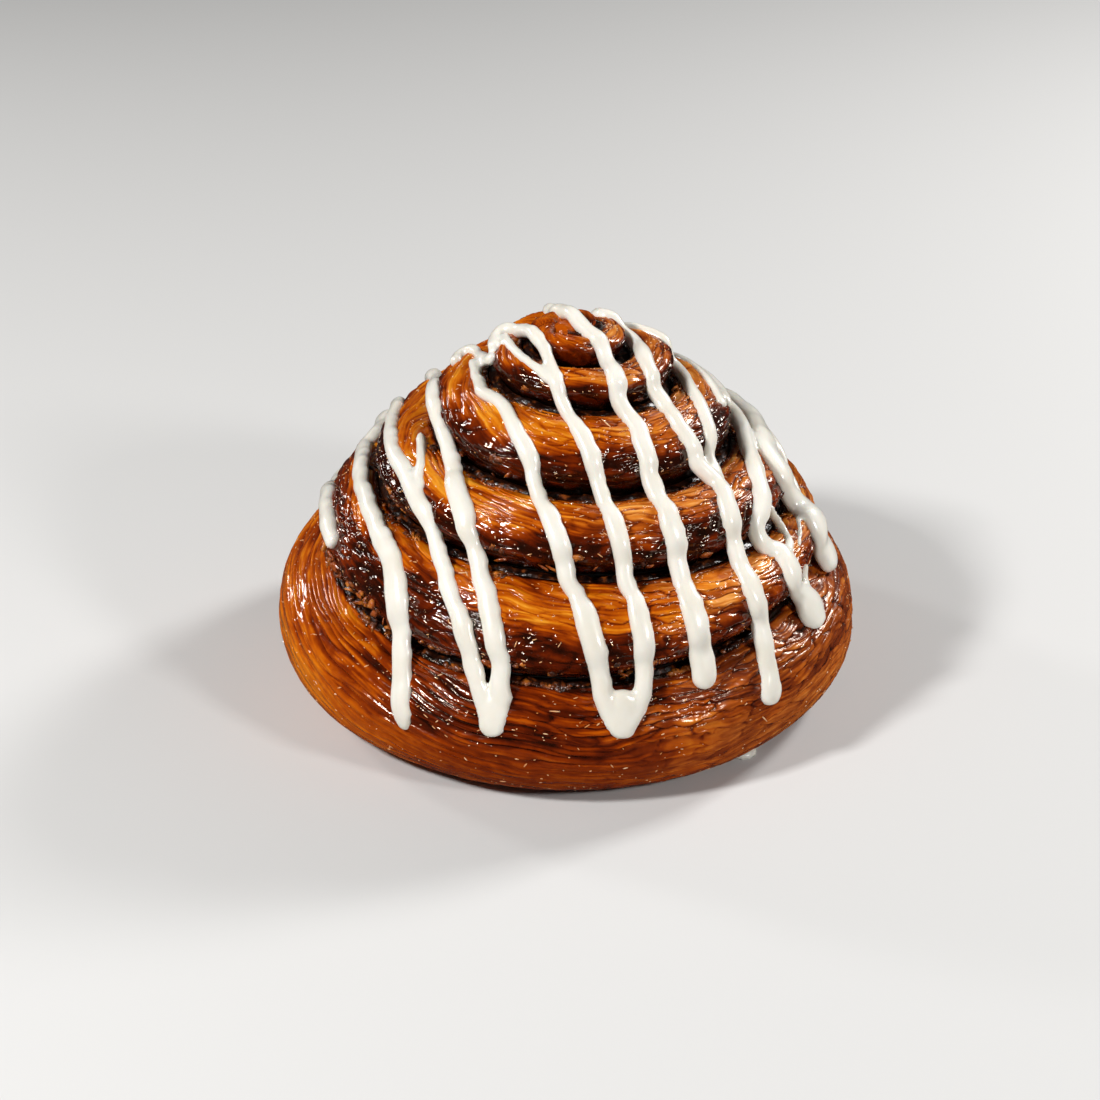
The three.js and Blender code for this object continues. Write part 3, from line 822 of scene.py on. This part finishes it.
def evened(values, reach):
    """Each value averaged with its neighbours on both sides."""
    weights = np.hanning(2 * reach + 3)[1:-1]
    padded = np.pad(values, reach, mode="edge")
    return np.convolve(padded, weights / weights.sum(), mode="valid")


def uneven(kind, index, at):
    """One kind of unevenness of a strand, at lengths along it."""
    seed, size, length = kind
    return size * patches((seed + index, length, 1), at, 0 * at)


def strand_rings(path):
    """A strand's rings along its path: how far along each lies, how far it is raised out of a groove, from 0
    to 1, its middle, and its directions sideways and outwards."""
    line, lengths = measured_line(MM * np.array(path), PATH_SAMPLES)
    at = np.linspace(0, lengths[-1], max(int(lengths[-1] / ICING_RING_STEP), 12) + 1)
    flat = np.stack([np.interp(at, lengths, line[:, k]) for k in (0, 1)], axis=-1)
    arc = np.hypot(flat[:, 0], flat[:, 1])
    angle = np.degrees(np.arctan2(flat[:, 0], -flat[:, 1]))
    sag = ICING_SAG * mix(0.25, 1, smoothstep(arc, 6 * MM, 16 * MM))
    height = evened(np.maximum(skin_height(arc, angle), sag), SETTLED_OVER)
    middle = around(off_dome(arc, height), angle)
    out = around(dome_outward(arc), angle)
    side = np.cross(np.gradient(middle, axis=0), out)
    side /= np.linalg.norm(side, axis=1)[:, None]
    return at, smoothstep(height, sag, RAISED_FROM), middle, side, out


def strand_mesh(index, start_width, end_width, thickness, drop, tip, path):
    """A strand of icing: a ball drawn out along its path."""
    at, raised, middle, side, out = strand_rings(path)
    rings = len(at) - 1
    bm = bmesh.new()
    bmesh.ops.create_uvsphere(bm, u_segments=ICING_SIDES, v_segments=rings, radius=1)
    mesh = mesh_of(bm, "strand")
    ball = corner_places(mesh)
    ring = np.rint(np.arccos(np.clip(ball[:, 2], -1, 1)) / np.pi * rings).astype(int)
    ahead = at[-1] - at
    swell = mix(drop, 1, smoothstep(ahead, tip * MM, DROP_FROM))
    width = mix(start_width, end_width, at / at[-1]) * MM
    start_round = np.clip(2 * at / width, 0, 1)
    end_round = np.clip(ahead / (tip * MM), 0, 1)
    roundness = np.sqrt((1 - (1 - start_round) ** 2) * (1 - (1 - end_round) ** 2))
    half = width / 2 * (1 + uneven(RIPPLE, index, at)) * swell * mix(*SPREAD, raised) * roundness
    top = thickness * MM * np.sqrt(roundness) * (1 + uneven(THICKENING, index, at))
    under = ICING_UNDER * roundness
    around_strand = np.arctan2(ball[:, 1], ball[:, 0])
    across = np.cos(around_strand)
    up = np.sin(around_strand)
    sideways = uneven(WANDER, index, at)[ring] + half[ring] * np.sign(across) * np.abs(across) ** 0.85
    sideways = sideways + (uneven(SCALLOP, index, at) * roundness)[ring] * np.clip(across, -1, 0)
    upwards = np.where(up > 0, top[ring] * np.abs(up) ** 0.9, under[ring] * up)
    places = middle[ring] + side[ring] * sideways[:, None] + out[ring] * upwards[:, None]
    mesh.vertices.foreach_set("co", places.ravel())
    return mesh


def make_icing(material):
    bm = bmesh.new()
    for index, strand_sizes in enumerate(STRANDS):
        strand = strand_mesh(index, *strand_sizes)
        bm.from_mesh(strand)
        bpy.data.meshes.remove(strand)
    x, y, radius, height = SPLASH
    place = Matrix.Translation((x, y, 0)) @ Matrix.Diagonal((radius, radius, height, 1))
    splash = bmesh.ops.create_uvsphere(bm, u_segments=24, v_segments=12, radius=1, matrix=place)
    for vert in splash["verts"]:
        vert.co.z = max(vert.co.z, 0)
    bmesh.ops.recalc_face_normals(bm, faces=bm.faces)
    mesh = mesh_of(bm, "icing_drizzle")
    piece = add_piece("icing_drizzle", mesh, material, "icing")
    fuse = piece.modifiers.new("fuse", "REMESH")
    fuse.mode = "VOXEL"
    fuse.voxel_size = ICING_VOXEL
    settle = piece.modifiers.new("settle", "SMOOTH")
    settle.factor = 0.5
    settle.iterations = 4
    made = bpy.data.meshes.new_from_object(piece.evaluated_get(bpy.context.evaluated_depsgraph_get()))
    piece.modifiers.clear()
    piece.data = made
    made.shade_smooth()


# Small scattered things: crumbs of cinnamon sugar in the grooves, broken crust in the folds, and pale beads
# on the crust, partly set glaze and partly painted glints. Shares across are of the width of a turn's face,
# from its upper edge.
CRUMB_COUNT = 2300
CRUMB_CLUMPS = 230
CRUMB_SHAPES = 3
CRUMBS_FROM = 200
CRUMBS_TO = TAIL_RUNS_OUT + 270
CLUMP_ALONG = 1.8
CLUMP_ACROSS = 0.016
UPPER_CLUMPS = (0.01, 0.07)
LIP_CLUMPS = (0.78, 0.97)
SHARD_COUNT = 130
DEEP_FOLD = (1328, 1402)
DEEP_FOLD_SHARDS = (0.74, 0.98)
OTHER_SHARDS = (0.88, 0.98)
BEAD_COUNT = 3000


def bead_shape():
    bm = bmesh.new()
    bmesh.ops.create_uvsphere(bm, u_segments=6, v_segments=4, radius=0.5)
    return mesh_of(bm, "bead")


def crumb_shape(rng):
    """A ball knocked out of round."""
    bm = bmesh.new()
    bmesh.ops.create_icosphere(bm, subdivisions=1, radius=0.5)
    for vert in bm.verts:
        vert.co *= rng.uniform(0.55, 1.3)
    return mesh_of(bm, "crumb")


def add_scattered(name, shapes, spots, turns, sizes, material, slot):
    """One piece of many copies of a few shapes, each with its own spot, axes and sizes."""
    corners = []
    faces = []
    for i, shape in enumerate(shapes):
        these = slice(i, None, len(shapes))
        scaled = corner_places(shape)[None] * sizes[these, None, :]
        placed = np.einsum("nij,nkj->nki", turns[these], scaled) + spots[these, None, :]
        starts = len(corners) + len(shape.vertices) * np.arange(len(placed))
        corners.extend(placed.reshape(-1, 3))
        faces.extend([start + k for k in face.vertices] for start in starts for face in shape.polygons)
    mesh = bpy.data.meshes.new(name)
    mesh.from_pydata(corners, [], faces)
    add_piece(name, mesh, material, slot)


def crust_spots(turn, across, lift):
    """Places on the crust with axes there: along the strip, across it and outwards."""
    nudge = 0.004
    spot = around(face_flat(turn, across, False), turn)
    along = around(face_flat(turn + 20 * nudge, across, False), turn + 20 * nudge) - spot
    down = around(face_flat(turn, across + nudge, False), turn) - spot
    along /= np.linalg.norm(along, axis=1)[:, None]
    out = np.cross(down, along)
    out /= np.linalg.norm(out, axis=1)[:, None]
    centre = spot * np.array([1, 1, 0])
    out *= np.where((out * centre).sum(axis=1) + out[:, 2] * 0.02 < 0, -1, 1)[:, None]
    sideways = np.cross(out, along)
    return spot + out * lift[:, None], np.stack([along, sideways, out], axis=-1)


def spun(axes, angle):
    """Axes turned by an angle round their outward direction."""
    along = axes[:, :, 0] * np.cos(angle)[:, None] + axes[:, :, 1] * np.sin(angle)[:, None]
    return np.stack([along, np.cross(axes[:, :, 2], along), axes[:, :, 2]], axis=-1)


def spread_turns(rng, count, start, end):
    """Turn angles spread evenly over the length of the strip."""
    return np.interp(rng.uniform(run_at(start), run_at(end), count), RUN_LENGTHS, RUN_TURNS)


def make_crumbs(material):
    """Crumbs lie in clumps, most of them where a turn's lip hangs over the next turn's upper edge."""
    rng = np.random.default_rng(5)
    shapes = [crumb_shape(rng) for _ in range(CRUMB_SHAPES)]
    clump = rng.integers(0, CRUMB_CLUMPS, CRUMB_COUNT)
    on_lip = rng.random(CRUMB_CLUMPS) < 0.4
    lip_across = rng.uniform(*LIP_CLUMPS, CRUMB_CLUMPS)
    clump_across = np.where(on_lip, lip_across, rng.uniform(*UPPER_CLUMPS, CRUMB_CLUMPS))
    clump_turn = spread_turns(rng, CRUMB_CLUMPS, CRUMBS_FROM, CRUMBS_TO)
    turn = clump_turn[clump] + rng.normal(0, CLUMP_ALONG, CRUMB_COUNT)
    across = clump_across[clump] + rng.normal(0, CLUMP_ACROSS, CRUMB_COUNT)
    across = np.where(turn > TAIL_RUNS_OUT - 10, 0.25 * across * (across < 0.5), across)
    across = np.clip(across, 0.002, 0.985)
    size = (0.3 + 0.4 * rng.exponential(1, CRUMB_COUNT).clip(0, 2.6)) * MM
    spots, axes = crust_spots(turn, across, 0.1 * size)
    turns = spun(axes, rng.uniform(0, np.pi, CRUMB_COUNT))
    sizes = np.stack([size * rng.uniform(1.1, 2.2, CRUMB_COUNT), size, size * 0.6], axis=-1)
    add_scattered("cinnamon_crumbs", shapes, spots, turns, sizes, material, "filling")


def make_shards(material):
    """Shards of crust that have broken off and lie in the folds, half of them in the left's deep fold."""
    rng = np.random.default_rng(15)
    in_fold = rng.random(SHARD_COUNT) < 0.5
    fold_turn = rng.uniform(*DEEP_FOLD, SHARD_COUNT)
    turn = np.where(in_fold, fold_turn, spread_turns(rng, SHARD_COUNT, 300, TAIL_RUNS_OUT))
    fold_across = rng.uniform(*DEEP_FOLD_SHARDS, SHARD_COUNT)
    across = np.where(in_fold, fold_across, rng.uniform(*OTHER_SHARDS, SHARD_COUNT))
    size = rng.uniform(0.8, 2.3, SHARD_COUNT) * MM
    spots, axes = crust_spots(turn, across, 0.25 * size)
    tilt = rng.uniform(-0.9, 0.9, SHARD_COUNT)
    turns = spun(axes, rng.uniform(0, np.pi, SHARD_COUNT))
    lean = turns[:, :, 2] * np.cos(tilt)[:, None] + turns[:, :, 0] * np.sin(tilt)[:, None]
    turns = np.stack([np.cross(turns[:, :, 1], lean), turns[:, :, 1], lean], axis=-1)
    sizes = np.stack([size * rng.uniform(1, 1.8, SHARD_COUNT), size, 0.3 * size], axis=-1)
    shapes = [crumb_shape(rng) for _ in range(CRUMB_SHAPES)]
    add_scattered("crust_flakes", shapes, spots, turns, sizes, material, "dough")


# Pale beads, partly set glaze and partly painted glints on the crust.
def make_glaze_glints(material):
    rng = np.random.default_rng(8)
    turn = spread_turns(rng, BEAD_COUNT, 30, STRIP_END - 20)
    across = 0.06 + 0.8 * rng.uniform(0, 1, BEAD_COUNT) ** 1.5
    size = rng.uniform(0.12, 0.3, BEAD_COUNT) * MM
    spots, axes = crust_spots(turn, across, 0.05 * size)
    turns = spun(axes, rng.normal(0, 0.6, BEAD_COUNT))
    stretch = 1.2 + rng.exponential(1.4, BEAD_COUNT)
    sizes = np.stack([size * stretch, size, size * 0.8], axis=-1)
    add_scattered("glaze_and_glint_beads", [bead_shape()], spots, turns, sizes, material, "dough")


def linear(colour):
    """A colour as a screen shows it, from 0 to 255, in the numbers that a shader takes."""
    parts = [channel / 255 for channel in colour]
    return [p / 12.92 if p <= 0.04045 else ((p + 0.055) / 1.055) ** 2.4 for p in parts] + [1]


def new_material(name):
    material = bpy.data.materials.new(name)
    material.use_nodes = True
    return material, material.node_tree, material.node_tree.nodes["Principled BSDF"]


def feed(tree, socket, value):
    """Gives a socket a value or another node's output."""
    if isinstance(value, bpy.types.NodeSocket):
        tree.links.new(value, socket)
    else:
        socket.default_value = value


def feed_all(tree, node, **values):
    """Feeds the sockets named in values, with _ for a space."""
    for key, value in values.items():
        feed(tree, node.inputs[key.replace("_", " ")], value)


def add_node(tree, kind, **values):
    node = tree.nodes.new(kind)
    feed_all(tree, node, **values)
    return node


def maths(tree, operation, *values):
    """A Math node on its values, each a number or a socket."""
    node = add_node(tree, "ShaderNodeMath")
    node.operation = operation
    for socket, value in zip(node.inputs, values):
        feed(tree, socket, value)
    return node.outputs[0]


def colour_ramp(tree, factor, stops):
    """Colours along a factor, each stop with its place and its colour as a screen shows it."""
    ramp = add_node(tree, "ShaderNodeValToRGB", Fac=factor)
    elements = ramp.color_ramp.elements
    while len(elements) < len(stops):
        elements.new(0.5)
    for element, (place, colour) in zip(elements, stops):
        element.position = place
        element.color = linear(colour)
    return ramp.outputs["Color"]


def relief(tree, height, strength, distance):
    """Fine relief from a height, for a finish's Normal."""
    bump = add_node(tree, "ShaderNodeBump", Strength=strength, Distance=distance, Height=height)
    return bump.outputs["Normal"]


def stretched(tree, place, scale):
    """A place stretched by a scale each way."""
    return add_node(tree, "ShaderNodeMapping", Vector=place, Scale=scale).outputs["Vector"]


def grain_group():
    """Fine baked grain, alike on dough, filling and crumbs: a height and a mottling, both from 0 to 1."""
    tree = bpy.data.node_groups.new("baked grain", "ShaderNodeTree")
    for name, default in (("Fine", 2600), ("Coarse", 420)):
        socket = tree.interface.new_socket(name, in_out="INPUT", socket_type="NodeSocketFloat")
        socket.default_value = default
    for name in ("Height", "Mottling"):
        tree.interface.new_socket(name, in_out="OUTPUT", socket_type="NodeSocketFloat")
    given = add_node(tree, "NodeGroupInput").outputs
    place = add_node(tree, "ShaderNodeTexCoord").outputs["Object"]
    fine = noise(tree, place, given["Fine"], Detail=1, Roughness=0.5)
    coarse = noise(tree, place, given["Coarse"], Detail=4, Roughness=0.55)
    add_node(tree, "NodeGroupOutput", Height=fine, Mottling=coarse)
    return tree


def noise(tree, place, scale, **values):
    return add_node(tree, "ShaderNodeTexNoise", Vector=place, Scale=scale, **values).outputs["Fac"]


def place_grain(tree, group, fine, coarse):
    node = add_node(tree, "ShaderNodeGroup")
    node.node_tree = group
    feed_all(tree, node, Fine=fine, Coarse=coarse)
    return node.outputs


# Colours as a screen shows them. The crust's run from hardly toasted, at 0, to nearly black, at 1.
CRUST_COLOURS = (
    (0.0, (238, 158, 44)),
    (0.2, (216, 119, 14)),
    (0.38, (184, 81, 3)),
    (0.56, (134, 46, 1)),
    (0.74, (88, 23, 1)),
    (0.88, (50, 11, 1)),
    (1.0, (14, 4, 1)),
)

# The drier crust on the right, where the layers have risen into flakes, is a yellower brown.
FLAKY_COLOURS = (
    (0.0, (238, 166, 84)),
    (0.2, (214, 126, 46)),
    (0.38, (176, 86, 20)),
    (0.56, (126, 50, 8)),
    (0.74, (84, 26, 4)),
    (0.88, (46, 13, 2)),
    (1.0, (14, 5, 1)),
)
# The filling's cinnamon brown runs down to nearly black, darkened as painted shade deep in the grooves.
FILLING_AND_SHADE_COLOURS = ((0.4, (12, 4, 2)), (0.56, (46, 17, 5)), (0.7, (128, 62, 18)))
CRUMB_COLOURS = ((0.38, (44, 16, 5)), (0.52, (112, 50, 13)), (0.66, (204, 118, 40)))
SHARD_COLOURS = ((0.38, (96, 38, 6)), (0.52, (168, 78, 14)), (0.66, (236, 150, 58)))
# Pale cream for the beads: set glaze and painted glints.
GLAZE_AND_GLINT_COLOURS = ((0.35, (216, 138, 68)), (0.65, (248, 212, 166)))
ICING_COLOURS = ((0.3, (234, 228, 214)), (0.7, (243, 239, 229)))
FLOOR_COLOUR = (212, 211, 209)
STUDIO_TINT = (1, 0.98, 0.95, 1)
STUDIO_STRENGTH = 0.035

# How much streaks and mottling darken or lighten the crust, and how much the wrinkles along the layers
# lighten their ridges and darken their creases as painted highlight and shade.
STREAK_SHADE = 0.11
MOTTLE_SHADE = 0.25
LINE_LIGHT_AND_SHADE = -0.035


def noted(tree, name, output="Fac"):
    """What is noted on the mesh's points under a name."""
    node = add_node(tree, "ShaderNodeAttribute")
    node.attribute_name = name
    return node.outputs[output]


def contour_lines(tree, place, scale, distortion, count):
    """Soft ridges along the level lines of a noise, from -1 to 1, like the wrinkles of a wet glaze."""
    levels = noise(tree, place, scale, Detail=1, Roughness=0.5, Distortion=distortion)
    return maths(tree, "SINE", maths(tree, "MULTIPLY", levels, count))


def crust_colour(tree, mottling, layers, layer_lines):
    """Brown by how dark each point is toasted, with its painted light and shade, streaked along the layers,
    lighter on the wrinkles' ridges and darker in their creases as painted highlight and shade, and yellower
    where it is flaky.
    """
    streaks = noise(tree, stretched(tree, layers, (260, 2200, 0)), 1, Detail=2, Roughness=0.5)
    streak_shade = maths(tree, "MULTIPLY", maths(tree, "SUBTRACT", streaks, 0.5), STREAK_SHADE)
    mottle_shade = maths(tree, "MULTIPLY", maths(tree, "SUBTRACT", mottling, 0.5), MOTTLE_SHADE)
    shade = maths(tree, "ADD", maths(tree, "ADD", noted(tree, "toast_and_shade"), streak_shade), mottle_shade)
    # Painted highlight and shade: the wrinkles' ridges lighter, their creases darker.
    shade = maths(tree, "ADD", shade, maths(tree, "MULTIPLY", layer_lines, LINE_LIGHT_AND_SHADE))
    blend = add_node(tree, "ShaderNodeMix")
    blend.data_type = "RGBA"
    feed(tree, blend.inputs["Factor"], noted(tree, "flaky"))
    feed(tree, blend.inputs[6], colour_ramp(tree, shade, CRUST_COLOURS))
    feed(tree, blend.inputs[7], colour_ramp(tree, shade, FLAKY_COLOURS))
    return blend.outputs[2]


def crust_height(tree, layer_lines, fine):
    """Wrinkles along the layers, blisters where the crust is dark, and fine grain."""
    place = add_node(tree, "ShaderNodeTexCoord").outputs["Object"]
    blisters = contour_lines(tree, place, scale=340, distortion=0.9, count=11)
    darkness = add_node(tree, "ShaderNodeSeparateXYZ", Vector=noted(tree, "grain", "Vector")).outputs["Z"]
    height = maths(tree, "MULTIPLY", layer_lines, maths(tree, "MULTIPLY_ADD", darkness, -0.25, 0.45))
    blister_height = maths(tree, "MULTIPLY", blisters, maths(tree, "MULTIPLY_ADD", darkness, 0.35, 0.15))
    height = maths(tree, "ADD", height, blister_height)
    return maths(tree, "ADD", height, maths(tree, "MULTIPLY", fine, 0.06))


def dough_material(grain):
    material, tree, shader = new_material("glazed crust")
    fine = place_grain(tree, grain, fine=1500, coarse=420)
    layers = noted(tree, "grain", "Vector")
    drawn_out = stretched(tree, layers, (110, 620, 0))
    layer_lines = contour_lines(tree, drawn_out, scale=1, distortion=0.5, count=11)
    colour = crust_colour(tree, fine["Mottling"], layers, layer_lines)
    height = crust_height(tree, layer_lines, fine["Height"])
    feed_all(tree, shader, Base_Color=colour, Normal=relief(tree, height, 1, 0.16 * MM))
    gloss = noted(tree, "gloss")
    rough = maths(tree, "MULTIPLY_ADD", gloss, -0.09, 0.18)
    rough = maths(tree, "ADD", rough, maths(tree, "MULTIPLY", noted(tree, "flaky"), 0.07))
    coat = maths(tree, "MULTIPLY", gloss, 0.4)
    feed_all(tree, shader, Roughness=rough, Coat_Weight=coat, Coat_Roughness=0.04)
    feed_all(tree, shader, Specular_Tint=(1, 0.86, 0.7, 1))
    return material


def filling_material(grain):
    material, tree, shader = new_material("sticky cinnamon filling")
    fine = place_grain(tree, grain, fine=1700, coarse=700)
    colour = colour_ramp(tree, fine["Mottling"], FILLING_AND_SHADE_COLOURS)
    normal = relief(tree, fine["Height"], 0.6, 0.3 * MM)
    feed_all(tree, shader, Base_Color=colour, Normal=normal, Roughness=0.3, Coat_Weight=0.1)
    return material


def crumb_material(grain, name, colours):
    material, tree, shader = new_material(name)
    fine = place_grain(tree, grain, fine=2200, coarse=300)
    colour = colour_ramp(tree, fine["Mottling"], colours)
    normal = relief(tree, fine["Height"], 0.7, 0.3 * MM)
    feed_all(tree, shader, Base_Color=colour, Normal=normal, Roughness=0.3, Coat_Weight=0.6)
    return material


def glaze_and_glint_material(grain):
    material, tree, shader = new_material("set glaze and painted glints")
    fine = place_grain(tree, grain, fine=2600, coarse=300)
    colour = colour_ramp(tree, fine["Mottling"], GLAZE_AND_GLINT_COLOURS)
    feed_all(tree, shader, Base_Color=colour, Roughness=0.06, Coat_Weight=1)
    return material


def icing_material():
    material, tree, shader = new_material("sugar icing")
    place = add_node(tree, "ShaderNodeTexCoord").outputs["Object"]
    soft = noise(tree, place, 160, Detail=3, Roughness=0.5)
    colour = colour_ramp(tree, soft, ICING_COLOURS)
    feed_all(tree, shader, Base_Color=colour, Normal=relief(tree, soft, 0.12, 0.3 * MM), Roughness=0.28)
    feed_all(tree, shader, Subsurface_Weight=0.25, Subsurface_Radius=(1.0, 0.7, 0.5))
    feed_all(tree, shader, Subsurface_Scale=1.2 * MM, Coat_Weight=0.5, Coat_Roughness=0.12)
    return material


# The stage: a pale floor, soft studio light, most of it from the left, and the camera at the photo's angle.
# Each light has its name, its place, the side of its square and its power.
CAMERA_PLACE = (-3.35 * MM, -472.78 * MM, 282.23 * MM)
CAMERA_TILT = math.radians(61.47)
CAMERA_LENS = 88.13
SENSOR = 36
FLOOR_HALF = 4
LIT_AT = Vector((0, 0, 0.035))
LIGHTS = (
    ("key", (-0.42, -0.3, 0.5), 0.09, 4.1),
    ("fill", (0.5, -0.43, 0.4), 0.1, 2.2),
    ("rim", (-0.52, 0.34, 0.3), 0.09, 0.9),
    ("back", (0.5, 0.33, 0.42), 0.14, 3.6),
)


def make_floor():
    bm = bmesh.new()
    bmesh.ops.create_grid(bm, x_segments=1, y_segments=1, size=FLOOR_HALF)
    floor = bpy.data.objects.new("floor", mesh_of(bm, "floor"))
    bpy.context.scene.collection.objects.link(floor)
    material, tree, shader = new_material("pale floor")
    feed_all(tree, shader, Base_Color=linear(FLOOR_COLOUR), Roughness=0.7)
    floor.data.materials.append(material)
    floor.visible_glossy = False


def make_light(name, place, size, power):
    light = bpy.data.lights.new(name, "AREA")
    light.shape = "SQUARE"
    light.size = size
    light.energy = power
    lamp = bpy.data.objects.new(name, light)
    lamp.location = place
    lamp.rotation_euler = (LIT_AT - Vector(place)).to_track_quat("-Z", "Y").to_euler()
    bpy.context.scene.collection.objects.link(lamp)


def make_stage():
    make_floor()
    bpy.context.scene.view_settings.view_transform = "Standard"
    world = bpy.data.worlds.new("studio")
    world.use_nodes = True
    background = world.node_tree.nodes["Background"]
    feed_all(world.node_tree, background, Color=STUDIO_TINT, Strength=STUDIO_STRENGTH)
    bpy.context.scene.world = world
    for light in LIGHTS:
        make_light(*light)
    camera = bpy.data.cameras.new("camera")
    camera.sensor_width = SENSOR
    camera.lens = CAMERA_LENS
    eye = bpy.data.objects.new("camera", camera)
    eye.location = CAMERA_PLACE
    eye.rotation_euler = (CAMERA_TILT, 0, 0)
    bpy.context.scene.collection.objects.link(eye)
    bpy.context.scene.camera = eye


baked_grain = grain_group()
crust_finish = dough_material(baked_grain)
make_dough(crust_finish)
make_knob(crust_finish)
make_filling(filling_material(baked_grain))
make_icing(icing_material())
make_crumbs(crumb_material(baked_grain, "cinnamon sugar crumbs", CRUMB_COLOURS))
make_shards(crumb_material(baked_grain, "broken crust", SHARD_COLOURS))
make_glaze_glints(glaze_and_glint_material(baked_grain))
make_stage()
